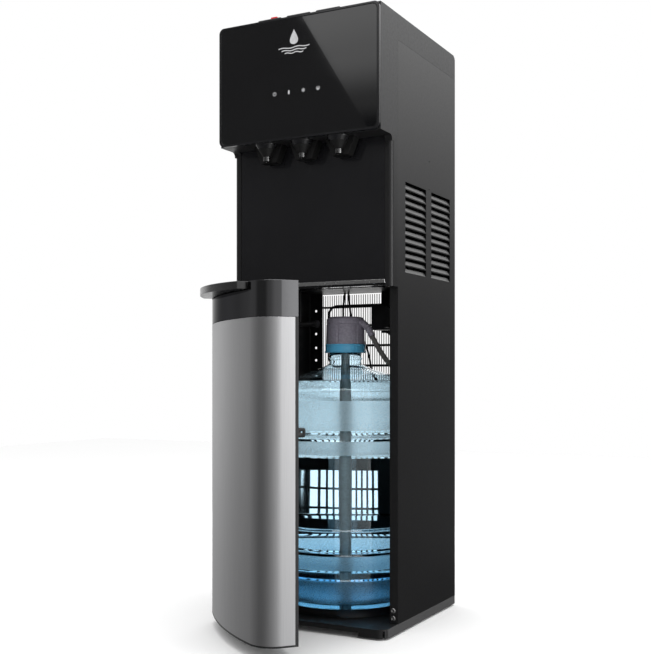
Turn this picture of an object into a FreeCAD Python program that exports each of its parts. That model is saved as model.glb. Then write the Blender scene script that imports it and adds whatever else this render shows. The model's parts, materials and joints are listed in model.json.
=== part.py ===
"""Floor-standing water dispenser with a bottle compartment below the tap alcove.

Frame: millimetres, +Z up, origin on the floor under the middle of the cabinet's footprint,
X to the user's right, -Y towards the user. The compartment door stands open at rest.
"""
import FreeCAD, Part

import math
import os
import re

import Sketcher

DIMENSIONS = {
    # cabinet
    "width": 310, "depth": 260, "top": 1040, "sheet": 1.2, "inner": 153.5,
    "cap_seam": 996, "cap_wall": 2.5, "cap_corner": 10, "gap": 0.2,
    # how far a cutting tool reaches past a face, and a height above the whole compartment
    "past": 1, "beyond": 600,
    # plinth and feet
    "foot_height": 3, "foot_radius": 14, "foot_flare": 1.5, "foot_stem": 10, "foot_side": 25,
    "foot_front": 24, "floor": 18, "plinth_front": 180, "plinth_wall": 4, "plinth_skin": 2.5,
    "plinth_corner": 18, "arch_half": 105, "arch_top": 10, "seat_top": 32, "seat_radius": 108,
    "seat_flare": 10, "hinge_block": 10, "bumper_radius": 16, "bumper_crown": 4,
    "bumper_side": 30, "bumper_back": 20, "bumper_sink": 0.5, "bumper_height": 1.7,
    # side louvres
    "louvre_low": 610, "louvre_pitch": 13, "louvre_slot": 11, "louvre_front": 30,
    "louvre_width": 90, "louvre_step": 114, "louvre_leaf": 7.4, "louvre_lean": 24,
    "leaf_thickness": 0.84, "leaf_sink": 0.4, "side_hole": 1.3, "side_hole_y": 4,
    # bottle compartment
    "ceiling": 598, "shelf": 2.5, "header_low": 584, "header_depth": 4, "ledge": 588,
    "ledge_thickness": 3, "ledge_inset": 12, "post": 14, "post_depth": 18,
    # sheet behind the bottle and its windows
    "back_sheet": 118.8, "window_half": 125, "window_low": 60, "cross_low": 130, "cross_high": 279,
    "vent_far": 104, "vent_near": 40, "vent_low": 155, "vent_high": 255, "post_hole": 2.5,
    "post_hole_x": 140,
    # alcove and head
    "alcove_face": 153.5, "column": 13, "column_low": 583, "column_round": 8, "sill_top": 595,
    "panel_set_back": 0.8, "panel": 3, "keeper": 9, "lens_radius": 4.5, "lens_z": 787.5,
    "lens_proud": 1.5, "lens_tip": 800, "head_floor": 833, "head_wall": 3, "head_front": 203,
    "bezel": 6, "bezel_rim": 4, "bezel_round": 10, "glass": 3, "glass_set_back": 0.3, "gusset": 8,
    # spouts and buttons
    "spout_pitch": 70, "spout_y": 182, "spout_wide": 20, "spout_narrow": 7, "spout_low": 812,
    "spout_hole": 6, "spout_body_top": 28, "spout_body_foot": 15, "spout_body_drop": 9,
    "spout_body_back": 6, "spout_body_depth": 18, "nozzle_low": 804, "nozzle_radius": 6.5,
    "nozzle_bore": 4, "button_pitch": 56.5, "button_wide": 45, "button_front": 195.5,
    "button_back": 176, "button_top": 1045, "button_low": 1029, "button_play": 0.5,
    "button_round": 2, "lock_start": 1, "lock_end": 13, "lock_front": 2.5, "lock_back": 9,
    "lock_height": 3, "lock_round": 1.2, "groove_play": 0.4, "groove_depth": 2.3,
    # control board
    "board_half": 85, "board_inset": 14, "board": 1.6, "board_low": 885, "board_high": 1016,
    "press_half": 4, "press_front": 190, "press_back": 182, "press_top": 1024.5, "chip_half": 7,
    "chip_low": 905, "chip_high": 919, "chip_thickness": 3.4,
    # tanks, the coil round the cold one and the heaters round the hot one
    "cold_x": -70, "cold_y": 20, "cold_radius": 57, "cold_low": 792, "cold_high": 956,
    "hot_x": 75, "hot_y": 10, "hot_radius": 44, "hot_low": 805, "hot_high": 942,
    "tank_wall": 1.5, "tank_end": 7, "tank_shoulder": 8, "tank_slant": 0.7, "coil_radius": 61.5,
    "coil_tube": 4, "coil_low": 820, "coil_pitch": 14, "coil_height": 120, "foam_radius": 82,
    "foam_bore": 67, "foam_low": 784, "foam_height": 180, "foam_floor": 6, "foam_lid": 4,
    "heater_radius": 47, "heater_bore": 43.5, "heater_height": 26,
    # compressor
    "compressor_x": 30, "compressor_y": 25, "base_half": 75, "base_back": 65, "base_low": 612,
    "base": 3, "grommet_x": 66, "grommet_y": 56,
    # condenser
    "tube_radius": 2.4, "tube_pitch": 40, "tube_top": 575, "tube_half": 100, "wire_radius": 0.8,
    "wire_pitch": 5, "wire_low": 62, "wire_high": 596, "wire_y": 132.3, "tube_y": 135.6,
    "rail_half": 133, "rail_height": 4, "rail_thickness": 1.2, "rail_foot": 8, "rail_middle": 250,
    "rail_head": 26, "arm": 6,
    # water lines and pump
    "line_radius": 4.5, "line_height": 17, "line_end": 80, "pump_left": 8, "pump_right": 96,
    "pump_front": 70, "pump_low": 522, "pump_high": 566, "pump_clear": 3.4, "motor_radius": 20, "motor_x": 44,
    "motor_front": 50, "motor_z": 545, "inlet_radius": 6, "inlet_x": 100, "inlet_y": 92,
    "inlet_low": 519, "inlet_height": 10, "bracket_left": 7, "bracket_right": 140,
    "bracket_step": 28, "bracket_low": 430, "bracket_knee": 518, "bracket": 2, "bracket_clear": 0.6,
    "bracket_round": 14,
    # rear fittings
    "rocker_x": -75, "rocker_pitch": 25, "rocker_z": 920, "rocker_half": 6.5, "rocker_tall": 10.5,
    "rocker_deep": 3, "rocker_proud": 4, "rocker_lean": 8, "pivot_radius": 1.5, "pivot_half": 7.6,
    "switch_hole": 7.7, "switch_tall": 12, "plate_half": 41, "plate_tall": 20, "plate": 2,
    "plate_round": 4, "cover_hole": 37, "cover_hole_tall": 13, "drain_x": 60, "drain_z": 640,
    "drain_radius": 7.5, "drain_bore": 5, "drain_hole": 8, "drain_inside": 20, "drain_length": 30.5,
    "plug_radius": 11, "plug_bore": 7.8, "plug_gap": 0.5, "plug_length": 14, "plug_rib": 4.5,
    "gland_x": 110, "gland_z": 620, "gland_hole": 7, "gland_neck": 6.9, "gland_wide": 11,
    "gland_narrow": 8, "gland_bore": 4, "gland_length": 12, "gland_inside": 6,
    "front_screw": 4.5, "front_screw_height": 1.5, "rear_screw": 4, "rear_screw_height": 1.4,
    "front_screw_x": 145.7, "rear_screw_x": 145.5,
    # bottle
    "bottle_y": 22, "hoop_radius": 135, "groove_radius": 131, "neck_radius": 29.5,
    "bottle_top": 476, "bottle_wall": 1.2, "water_top": 425, "water_gap": 0.1, "water_rim": 24,
    # probe
    "pipe_radius": 8, "pipe_wall": 1.5, "pipe_low": 42, "pipe_play": 0.3, "collar_radius": 38,
    "collar": 16, "probe_low": 492, "probe_wide": 35.5, "probe_narrow": 34.5, "probe_edge": 538,
    "probe_crown": 31, "probe_top": 542, "probe_slot": 1.4, "probe_slot_depth": 1.5,
    "probe_slot_top": 512, "probe_slot_turn": -86.6,
    "elbow_radius": 7, "hanger_y": 72, "hanger_z": 528, "hanger_left": 78, "hanger_right": 32,
    "hanger_radius": 4.5, "hook_radius": 7, "hook_left": 34, "hook_right": 30, "strap_right": 66,
    "strap_half": 2,
    # hose and cables
    "hose_radius": 4.5, "cable_radius": 2,
    # door, measured shut
    "hinge_x": 150, "hinge_y": 140, "door_angle": 41.5, "door_half": 154, "door_back": 133,
    "door_bow": 213, "bow_radius": 600, "door_corner": 42, "door_low": 20, "door_sole": 3,
    "steel_top": 523.7, "door_top": 580, "door_rim": 5.3, "skin": 1, "liner_gap": 10,
    "liner": 2.5, "pin_radius": 3.5, "pin_play": 0.05, "pin_length": 8,
    # the door's cap and the drip tray, measured with the door shut
    "cap_step": 567, "cap_sheet": 2.5, "cap_back": 4, "shoulder": 117, "well_clear": 1,
    "tray_low": 568, "tray_reach": 244, "tray_radius": 240, "tray_half": 108, "tray_back": 139,
    "tray_floor": 550, "well_half": 98, "well_front": 199, "well_back": 148, "tray_wall": 2,
    "tray_corner": 8, "grille_play": 0.4, "grille_drop": 1.5, "grille": 2.5, "slit_half": 2.5,
    "slit_front": 225, "slit_back": 150, "slit_curve": 480,
}
LOUVRE_ROWS = 12
CONDENSER_ROWS = 13
WIRES_EACH_SIDE = 26
COIL_TURNS = 8
HEATER_HEIGHTS = (825, 885)
CHIP_PLACES = (-50, -10, 40)
POST_HOLE_HEIGHTS = (436, 466, 491, 519, 565)
FRONT_SCREW_HEIGHTS = (27, 40)
REAR_SCREW_HEIGHTS = (600, 730, 860, 980)
PROBE_SLOTS = 6
SIDE_HOLE_HEIGHTS = (767, 817)
SLIT_PLACES = range(-88, 89, 11)
# each place from left to right; buttons and spouts stand at multiples of their pitch
BUTTON_PLACES = (("hot", -1), ("cold", 0), ("room", 1))
ROCKER_PLACES = (("night_light", -1), ("heating", 0), ("cooling", 1))
# outlines as radius and height
COMPRESSOR_OUTLINE = (("0", "base_low + 2"), ("57", "base_low + 2"), ("62", "base_low + 12"),
                      ("62", "base_low + 76"), ("54", "base_low + 100"), ("34", "base_low + 114"),
                      ("0", "base_low + 118"))
GROMMET_OUTLINE = (("2", "ceiling + shelf"), ("9", "ceiling + shelf"), ("9", "base_low - 7"),
                   ("7", "base_low - 4"), ("9", "base_low"), ("2", "base_low"))
# the bottle's narrow waists, as the heights of their lower and upper ends
BOTTLE_WAISTS = ((82, 101), (125, 136), (167, 298), (321, 340))
ELBOW_ROUTE = ((30.5, -24, 531), (45, -27, 524), (58, -30, 506))
HOSE_ROUTE = ((58, -30, 506), (76, -29, 473), (97, -18, 446), (117, 15, 432), (124, 55, 440),
              (118, 83, 464), (106, 92, 492), (100, 92, 518.9))
SENSOR_ROUTE = ((-64, 100, 597.9), (-67, 97, 573.5), (-66, 96, 548), (-61, 84, 524),
                (-46, 62, 510), (-31, 37, 507), (-17.8, 10, 512))
PUMP_ROUTE = ((-60, 106, 597.9), (-56, 103.5, 574.5), (-53, 103, 550), (-38, 101, 523),
              (-19, 100, 497), (-10, 101, 467), (-8, 104, 437), (12, 108, 416), (42, 108, 412),
              (64, 106, 430), (70, 103, 460), (68, 98, 492), (66, 94, 521.9))

doc = FreeCAD.newDocument("water_dispenser")
sheet = doc.addObject("Spreadsheet::Sheet", "dims")
for row, (name, size) in enumerate(DIMENSIONS.items(), 1):
    sheet.set(f"A{row}", name)
    sheet.set(f"B{row}", str(size))
    sheet.setAlias(f"B{row}", name)
doc.recompute()

subparts = []


# ---------------------------------------------------------------- formulas and plain solids
def formula(text):
    """Point each dimension's name in text at its cell of the sheet."""
    return re.sub(r"[a-z_]+", lambda word: "dims." * (word.group() in DIMENSIONS) + word.group(),
                  str(text))


def value(text):
    """Work out a formula now, as a number."""
    return float(sheet.evalExpression(formula(text)))


def place(item, x, y, z):
    for axis, text in zip("xyz", (x, y, z)):
        item.setExpression(f"Placement.Base.{axis}", formula(text))


def box(x, y, z):
    """A block between the low and high formulas given for each axis."""
    block = doc.addObject("Part::Box", "block")
    for side, (low, high) in zip(("Length", "Width", "Height"), (x, y, z)):
        block.setExpression(side, formula(f"({high}) - ({low})"))
    place(block, x[0], y[0], z[0])
    return block


DIRECTIONS = {"x": FreeCAD.Vector(1, 0, 0), "y": FreeCAD.Vector(0, 1, 0),
              "z": FreeCAD.Vector(0, 0, 1)}


def aim(item, direction):
    turn = FreeCAD.Rotation(DIRECTIONS["z"], DIRECTIONS[direction])
    item.Placement = FreeCAD.Placement(FreeCAD.Vector(), turn)


def rod(radius, start, length, direction="z"):
    """A cylinder from the point start along one axis."""
    cylinder = doc.addObject("Part::Cylinder", "rod")
    aim(cylinder, direction)
    cylinder.setExpression("Radius", formula(radius))
    cylinder.setExpression("Height", formula(length))
    place(cylinder, *start)
    return cylinder


def taper(first, last, start, length, direction="z"):
    """A cone from radius first at start to radius last."""
    cone = doc.addObject("Part::Cone", "taper")
    aim(cone, direction)
    for prop, text in (("Radius1", first), ("Radius2", last), ("Height", length)):
        cone.setExpression(prop, formula(text))
    place(cone, *start)
    return cone


def join(*items):
    fused = doc.addObject("Part::MultiFuse", "joined")
    fused.Shapes = list(items)
    fused.Refine = True
    return fused


def group(*items):
    """Separate solids that share one node."""
    several = doc.addObject("Part::Compound", "several")
    several.Links = list(items)
    return several


def cut(base, *tools):
    remainder = doc.addObject("Part::Cut", "cut")
    remainder.Base = base
    remainder.Tool = tools[0] if len(tools) == 1 else join(*tools)
    return remainder


def common(base, tool):
    shared = doc.addObject("Part::Common", "shared")
    shared.Base = base
    shared.Tool = tool
    return shared


def upright(edge):
    bounds = edge.BoundBox
    return bounds.XLength < 0.01 and bounds.YLength < 0.01


def rounded(base, radius, wanted):
    """Round the edges of base that wanted accepts."""
    doc.recompute()
    size = value(radius)
    fillet = doc.addObject("Part::Fillet", "rounded")
    fillet.Base = base
    fillet.Edges = [(number, size, size) for number, edge in enumerate(base.Shape.Edges, 1)
                    if wanted(edge)]
    return fillet


# ---------------------------------------------------------------- bodies drawn in a sketch
def outline(body, role, corners):
    """A closed sketch in body whose corners are held by formulas from its origin."""
    plane = next(item for item in body.Origin.OriginFeatures if item.Role == role)
    sketch = body.newObject("Sketcher::SketchObject", "outline")
    sketch.AttachmentSupport = [(plane, "")]
    sketch.MapMode = "FlatFace"
    points = [FreeCAD.Vector(value(across), value(along), 0) for across, along in corners]
    count = len(points)
    for index in range(count):
        sketch.addGeometry(Part.LineSegment(points[index], points[(index + 1) % count]))
    for index in range(count):
        sketch.addConstraint(Sketcher.Constraint("Coincident", index, 2, (index + 1) % count, 1))
    for index, texts in enumerate(corners):
        for kind, text in zip(("DistanceX", "DistanceY"), texts):
            rule = Sketcher.Constraint(kind, -1, 1, index, 1, value(text))
            number = sketch.addConstraint(rule)
            if re.search("[a-z]", str(text)):
                sketch.setExpression(f"Constraints[{number}]", formula(text))
    return sketch


def lathe(corners, x="0", y="0"):
    """A body turned about an upright axis at x, y; corners are radius and height."""
    body = doc.addObject("PartDesign::Body", "turned")
    sketch = outline(body, "XZ_Plane", corners)
    turning = body.newObject("PartDesign::Revolution", "revolution")
    turning.Profile = sketch
    turning.ReferenceAxis = (sketch, ["V_Axis"])
    turning.Angle = 360
    place(body, x, y, "0")
    return body


def slab(corners, back, thickness):
    """A plate drawn in X and Z, whose rear face is at y = back."""
    body = doc.addObject("PartDesign::Body", "plate")
    sketch = outline(body, "XZ_Plane", corners)
    pad = body.newObject("PartDesign::Pad", "pad")
    pad.Profile = sketch
    pad.setExpression("Length", formula(thickness))
    place(body, "0", back, "0")
    return body


# ---------------------------------------------------------------- cords
def round_route(points):
    """Straight runs through points, joined by arcs as large as the shorter run allows."""
    edges = []
    start = points[0]
    for before, corner, after in zip(points, points[1:], points[2:]):
        arrive = (corner - before).normalize()
        leave = (after - corner).normalize()
        trim = 0.45 * min((corner - before).Length, (after - corner).Length)
        half_turn = arrive.getAngle(leave) / 2
        inward = (leave - arrive).normalize()
        radius = trim / math.tan(half_turn)
        reach = (trim * trim + radius * radius) ** 0.5 - radius
        first = corner - arrive * trim
        last = corner + leave * trim
        edges.append(Part.LineSegment(start, first).toShape())
        edges.append(Part.Arc(first, corner + inward * reach, last).toShape())
        print(f"  bend radius {radius:.1f}")
        start = last
    edges.append(Part.LineSegment(start, points[-1]).toShape())
    return Part.Wire(edges)


def cord(name, route, radius):
    """A round cord along route, as one solid."""
    points = [FreeCAD.Vector(*point) for point in route]
    size = value(radius)
    print(name)
    path = round_route(points)
    section = Part.Wire(Part.makeCircle(size, points[0], points[1] - points[0]))
    solid = path.makePipeShell([section], True, False)
    expected = math.pi * size * size * path.Length
    print(f"  length {path.Length:.1f}, volume ratio {solid.Volume / expected:.4f}")
    feature = doc.addObject("Part::Feature", name)
    feature.Shape = solid
    subpart(name, feature)


def subpart(name, item):
    """Name item as a finished piece of the dispenser."""
    item.Label = name
    subparts.append(item)


# ---------------------------------------------------------------- cabinet
def foot(x, y):
    pad = taper("foot_radius - foot_flare", "foot_radius", (x, y, "0"), "foot_height")
    return join(pad, rod("foot_stem", (x, y, "foot_height"), "floor - plinth_skin - foot_height"))


def plinth():
    base = rounded(box(("-width/2", "width/2"), ("-plinth_front", "depth/2 - 1"),
                       ("foot_height", "floor")),
                   "plinth_corner", lambda edge: upright(edge) and edge.BoundBox.YMin < -100)
    inside = "width/2 - plinth_wall"
    hollow = box((f"-({inside})", inside),
                 ("-plinth_front + plinth_wall", "depth/2 - 1 - plinth_wall"),
                 ("0", "floor - plinth_skin"))
    block = box(("-width/2 + 1", "-hinge_x + hinge_block"),
                ("-hinge_y - hinge_block", "-hinge_y + hinge_block"), ("foot_height", "floor - 1"))
    arch = box(("-arch_half", "arch_half"),
               ("-plinth_front - past", "-plinth_front + plinth_wall + past"), ("0", "arch_top"))
    dome = taper("bumper_radius", "bumper_crown",
                 ("width/2 - bumper_side", "-plinth_front + bumper_back", "floor - bumper_sink"),
                 "bumper_height")
    bumper = common(dome, box(("0", "width/2"), ("-plinth_front", "0"), ("0", "2*floor")))
    seat = cut(taper("seat_radius + seat_flare", "seat_radius", ("0", "-bottle_y", "floor"),
                     "seat_top - floor"),
               box(("-width", "width"), ("-width", "-depth/2"), ("0", "2*seat_top")))
    hinge_hole = rod("pin_radius + pin_play", ("-hinge_x", "-hinge_y", "floor - pin_length - 2"),
                     "2*pin_length")
    subpart("base_plinth", cut(join(cut(base, hollow, arch), block, bumper, seat), hinge_hole))
    corners = [(x, y) for x in ("-width/2 + foot_side", "width/2 - foot_side")
               for y in ("-plinth_front + foot_front", "depth/2 - foot_side")]
    subpart("feet", group(*[foot(x, y) for x, y in corners], foot("0", "0")))


def side_panel(name, side):
    """A side sheet with two screw holes, and two columns of louvres that lean inward and up."""
    if side > 0:
        sheet_x = ("width/2 - sheet", "width/2")
        leaf_x = "width/2 - sheet + gap/2"
    else:
        sheet_x = ("-width/2", "-width/2 + sheet")
        leaf_x = "-width/2 + gap"
    panel = box(sheet_x, ("-depth/2", "depth/2"), ("floor", "cap_seam - gap"))
    slots = []
    leaves = []
    for column in range(2):
        front = f"-depth/2 + louvre_front + {column}*louvre_step"
        for row in range(LOUVRE_ROWS):
            low = f"louvre_low + {row}*louvre_pitch"
            slots.append(box((f"{sheet_x[0]} - past", f"{sheet_x[1]} + past"),
                             (front, f"{front} + louvre_width"), (low, f"{low} + louvre_slot")))
            leaf = doc.addObject("Part::Box", "leaf")
            leaf.setExpression("Length", formula("leaf_thickness"))
            leaf.setExpression("Width", formula("louvre_width"))
            leaf.setExpression("Height", formula("louvre_leaf"))
            leaf.Placement.Rotation = FreeCAD.Rotation(DIRECTIONS["y"], -value("louvre_lean") * side)
            place(leaf, leaf_x, front, f"{low} - leaf_sink")
            leaves.append(leaf)
    holes = [rod("side_hole", (f"{sheet_x[0]} - past", "side_hole_y", f"{height}"), "sheet + 2*past",
                 "x") for height in SIDE_HOLE_HEIGHTS]
    subpart(name, join(cut(panel, *slots, *holes), *leaves))


def compartment():
    posts = [box((low, high), ("-depth/2", "-depth/2 + post_depth"), ("floor", "header_low"))
             for low, high in (("-inner", "-inner + post"), ("inner - post", "inner"))]
    subpart("front_posts", group(*posts))
    front = box(("-inner", "inner"), ("-depth/2", "-depth/2 + header_depth"),
                ("header_low", "ceiling + shelf"))
    ledge = box(("-inner + ledge_inset", "inner - ledge_inset"), ("-alcove_face + 2", "-depth/2"),
                ("ledge - ledge_thickness", "ledge"))
    subpart("compartment_header", join(front, ledge))
    subpart("compressor_shelf", box(("-inner", "inner"), ("-depth/2 + header_depth", "back_sheet"),
                                    ("ceiling", "ceiling + shelf")))


def rear_frame():
    """The sheet behind the bottle: two posts, a sill and a cross plate with a vent."""
    back_y = ("back_sheet", "back_sheet + sheet")
    past_y = ("back_sheet - past", "back_sheet + sheet + past")
    holes = [rod("post_hole", ("-post_hole_x", "back_sheet - past", f"{height}"), "sheet + 2*past", "y")
             for height in POST_HOLE_HEIGHTS]
    left = cut(box(("-inner", "-window_half"), back_y, ("floor", "ceiling")), *holes)
    right = box(("window_half", "inner"), back_y, ("floor", "ceiling"))
    sill = box(("-window_half", "window_half"), back_y, ("floor", "window_low"))
    cross = cut(box(("-window_half", "window_half"), back_y, ("cross_low", "cross_high")),
                box(("-vent_far", "-vent_near"), past_y, ("vent_low", "vent_high")))
    subpart("rear_frame", group(left, right, sill, cross))


def covers():
    back_y = ("depth/2 - sheet", "depth/2")
    rear = box(("-inner", "inner"), back_y, ("ceiling", "cap_seam - gap"))
    rocker_hole = box(("rocker_x - cover_hole", "rocker_x + cover_hole"),
                      ("depth/2 - sheet - past", "depth/2 + past"),
                      ("rocker_z - cover_hole_tall", "rocker_z + cover_hole_tall"))
    drain_hole = rod("drain_hole", ("drain_x", "depth/2 - sheet - past", "drain_z"),
                     "sheet + 2*past", "y")
    gland_hole = rod("gland_hole", ("gland_x", "depth/2 - sheet - past", "gland_z"),
                     "sheet + 2*past", "y")
    subpart("rear_cover", cut(rear, rocker_hole, drain_hole, gland_hole))
    outer = rounded(box(("-width/2", "width/2"), ("-depth/2", "depth/2"), ("cap_seam", "top")),
                    "cap_corner", lambda edge: edge.BoundBox.YMin > 120 and edge.BoundBox.ZMin > 1030)
    inside = box(("-width/2 + cap_wall", "width/2 - cap_wall"),
                 ("-depth/2 - past", "depth/2 - cap_wall"), ("cap_seam - past", "top - cap_wall"))
    subpart("top_cover", cut(outer, inside))


# ---------------------------------------------------------------- alcove and head
def alcove_column(side):
    low, high = sorted((f"{side}*(width/2 - column)", f"{side}*width/2"), key=value)
    post = rounded(box((low, high), ("-alcove_face", "-depth/2"), ("column_low", "head_floor")),
                   "column_round",
                   lambda edge: upright(edge) and side * edge.BoundBox.XMax > 154
                   and edge.BoundBox.YMin < -150)
    block = box((low, high), ("-alcove_face - gusset", "-alcove_face"),
                ("head_floor - gusset", "head_floor"))
    scoop = rod("gusset", (low, "-alcove_face - gusset", "head_floor - gusset"), "column", "x")
    keeper = box((low, high), ("-alcove_face", "-alcove_face + keeper"),
                 ("head_floor - keeper", "head_floor"))
    column = join(post, cut(block, scoop), keeper)
    if side > 0:
        return column
    return cut(column, rod("pin_radius + pin_play", ("-hinge_x", "-hinge_y", "column_low - past"),
                           "pin_length + 1 + past"))


def alcove():
    subpart("alcove_columns", group(alcove_column(-1), alcove_column(1)))
    wall = "width/2 - column - gap"
    panel_front = "-alcove_face + panel_set_back"
    subpart("alcove_panel", box((f"-({wall})", wall), (panel_front, f"{panel_front} + panel"),
                                ("sill_top", "head_floor - gap")))
    subpart("alcove_sill", box((f"-({wall})", wall), ("-alcove_face - 1", "-alcove_face + 2"),
                               ("ledge", "sill_top")))
    drop = [("-3.2", "lens_tip - 10"), ("3.2", "lens_tip - 10"), ("0", "lens_tip")]
    disc = rod("lens_radius", ("0", f"{panel_front} - lens_proud", "lens_z"), "lens_proud", "y")
    subpart("night_light_lens", join(disc, slab(drop, panel_front, "lens_proud")))


def head():
    outside = box(("-width/2", "width/2"), ("-head_front + bezel", "-depth/2"), ("head_floor", "top"))
    openings = [box(("-width/2 + head_wall", "width/2 - head_wall"), ("-head_front", "0"),
                    ("head_floor + head_wall", "top - head_wall"))]
    for _, number in BUTTON_PLACES:
        middle = f"{number}*button_pitch"
        openings.append(box((f"{middle} - button_wide/2 - button_play",
                             f"{middle} + button_wide/2 + button_play"),
                            ("-button_front - button_play", "-button_back + button_play"),
                            ("top - head_wall - past", "top + past")))
        openings.append(rod("spout_hole", (f"{number}*spout_pitch", "-spout_y", "head_floor - past"),
                            "head_wall + 2*past"))
    subpart("head_shell", cut(outside, *openings))
    ring = rounded(box(("-width/2", "width/2"), ("-head_front", "-head_front + bezel"),
                       ("head_floor", "top")), "bezel_round",
                   lambda edge: edge.BoundBox.YLength > 5)
    rim = "width/2 - bezel_rim"
    opening = rounded(box((f"-({rim})", rim), ("-head_front - past", "-head_front + bezel + past"),
                          ("head_floor + bezel_rim", "top - bezel_rim")), "bezel_round - 1",
                      lambda edge: edge.BoundBox.YLength > 5)
    subpart("head_bezel", cut(ring, opening))
    edge_x = "width/2 - bezel_rim - gap"
    glass_front = "-head_front + glass_set_back"
    pane = rounded(box((f"-({edge_x})", edge_x), (glass_front, f"{glass_front} + glass"),
                       ("head_floor + bezel_rim + gap", "top - bezel_rim - gap")), "bezel_round - 1",
                   lambda edge: edge.BoundBox.YLength > 2)
    subpart("glass_panel", pane)


def spouts():
    rings = []
    for name, number in BUTTON_PLACES:
        x = f"{number}*spout_pitch"
        funnel = taper("spout_narrow", "spout_wide", (x, "-spout_y", "spout_low"),
                       "head_floor - spout_low")
        foot_z = "spout_low - spout_body_drop"
        corners = [(f"{x} - spout_body_top", "head_floor"), (f"{x} + spout_body_top", "head_floor"),
                   (f"{x} + spout_body_foot", foot_z), (f"{x} - spout_body_foot", foot_z)]
        body = slab(corners, "-alcove_face - spout_body_back", "spout_body_depth")
        bore = rod("nozzle_bore", (x, "-spout_y", "spout_low - past"),
                   "head_floor - spout_low + 2*past")
        ring_seat = rod("nozzle_radius", (x, "-spout_y", "nozzle_low - 2*past"),
                        "spout_low - nozzle_low + 2*past")
        subpart(f"spout_{name}", cut(join(funnel, body), bore, ring_seat))
        rings.append(cut(rod("nozzle_radius", (x, "-spout_y", "nozzle_low"),
                             "spout_low - nozzle_low"),
                         rod("nozzle_bore", (x, "-spout_y", "nozzle_low - past"),
                             "spout_low - nozzle_low + 2*past")))
    subpart("nozzle_rings", group(*rings))


def buttons():
    for name, number in BUTTON_PLACES:
        middle = f"{number}*button_pitch"
        key = rounded(box((f"{middle} - button_wide/2", f"{middle} + button_wide/2"),
                          ("-button_front", "-button_back"), ("button_low", "button_top")),
                      "button_round", lambda edge: edge.BoundBox.ZMin > 1044)
        if name == "hot":
            groove = box((f"{middle} + lock_start - groove_play", f"{middle} + lock_end + groove_play"),
                         ("-button_front + button_round", "-button_back - button_round"),
                         ("button_top - groove_depth", "button_top + past"))
            key = cut(key, groove)
        subpart(f"button_{name}", key)
    slider = rounded(box(("-button_pitch + lock_start", "-button_pitch + lock_end"),
                         ("-button_front + lock_front", "-button_front + lock_back"),
                         ("button_top - 2", "button_top + lock_height")), "lock_round",
                     lambda edge: edge.BoundBox.ZMin > 1047.9)
    subpart("child_lock", slider)


def electronics():
    """An upright board behind the glass, and a ledge with a switch under each button."""
    front = "-head_front + board_inset"
    board = box(("-board_half", "board_half"), (front, f"{front} + board"),
                ("board_low", "board_high"))
    ledge = box(("-board_half", "board_half"), ("-head_front + bezel + 2", "-button_back + 3"),
                ("board_high", "board_high + board"))
    presses = [box((f"{number}*button_pitch - press_half", f"{number}*button_pitch + press_half"),
                   ("-press_front", "-press_back"), ("board_high + board", "press_top"))
               for _, number in BUTTON_PLACES]
    chips = [box((f"{x} - chip_half", f"{x} + chip_half"),
                 (f"{front} + board", f"{front} + board + chip_thickness"), ("chip_low", "chip_high"))
             for x in CHIP_PLACES]
    subpart("control_board", join(board, ledge, *presses, *chips))


# ---------------------------------------------------------------- cooling and heating
def vessel(name):
    """A closed tank with chamfered ends, whose sizes start with name."""
    radius, low, high = f"{name}_radius", f"{name}_low", f"{name}_high"
    wall = [("0", low), (f"{radius} - tank_end", low), (radius, f"{low} + tank_shoulder"),
            (radius, f"{high} - tank_shoulder"), (f"{radius} - tank_end", high), ("0", high)]
    inside = f"{radius} - tank_wall"
    end = f"{radius} - tank_end - tank_slant"
    rise = "tank_shoulder + 0.6"
    hollow = [("0", f"{low} + tank_wall"), (end, f"{low} + tank_wall"), (inside, f"{low} + {rise}"),
              (inside, f"{high} - ({rise})"), (end, f"{high} - tank_wall"),
              ("0", f"{high} - tank_wall")]
    middle = (f"{name}_x", f"{name}_y")
    return cut(lathe(wall, *middle), lathe(hollow, *middle))


def tanks():
    subpart("cold_tank", vessel("cold"))
    turns = []
    for number in range(COIL_TURNS):
        turn = doc.addObject("Part::Torus", "turn")
        turn.setExpression("Radius1", formula("coil_radius"))
        turn.setExpression("Radius2", formula("coil_tube"))
        place(turn, "cold_x", "cold_y", f"coil_low + {number}*coil_pitch")
        turns.append(turn)
    riser = rod("coil_tube", ("cold_x + coil_radius", "cold_y", "coil_low"), "coil_height")
    subpart("evaporator_coil", join(*turns, riser))
    foam = cut(rod("foam_radius", ("cold_x", "cold_y", "foam_low"), "foam_height"),
               rod("foam_bore", ("cold_x", "cold_y", "foam_low + foam_floor"),
                   "foam_height - foam_floor - foam_lid"))
    subpart("tank_foam", foam)
    bands = [cut(rod("heater_radius", ("hot_x", "hot_y", f"{height}"), "heater_height"),
                 rod("heater_bore", ("hot_x", "hot_y", f"{height} - past"),
                     "heater_height + 2*past")) for height in HEATER_HEIGHTS]
    subpart("hot_tank", join(vessel("hot"), *bands))


def compressor():
    plate = box(("compressor_x - base_half", "compressor_x + base_half"),
                ("compressor_y - base_back", "compressor_y + base_back"),
                ("base_low", "base_low + base"))
    pot = lathe(COMPRESSOR_OUTLINE, "compressor_x", "compressor_y")
    subpart("compressor", join(plate, pot))
    grommets = [lathe(GROMMET_OUTLINE, f"compressor_x {across} grommet_x",
                      f"compressor_y {along} grommet_y") for across in "-+" for along in "-+"]
    subpart("compressor_grommets", group(*grommets))


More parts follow.
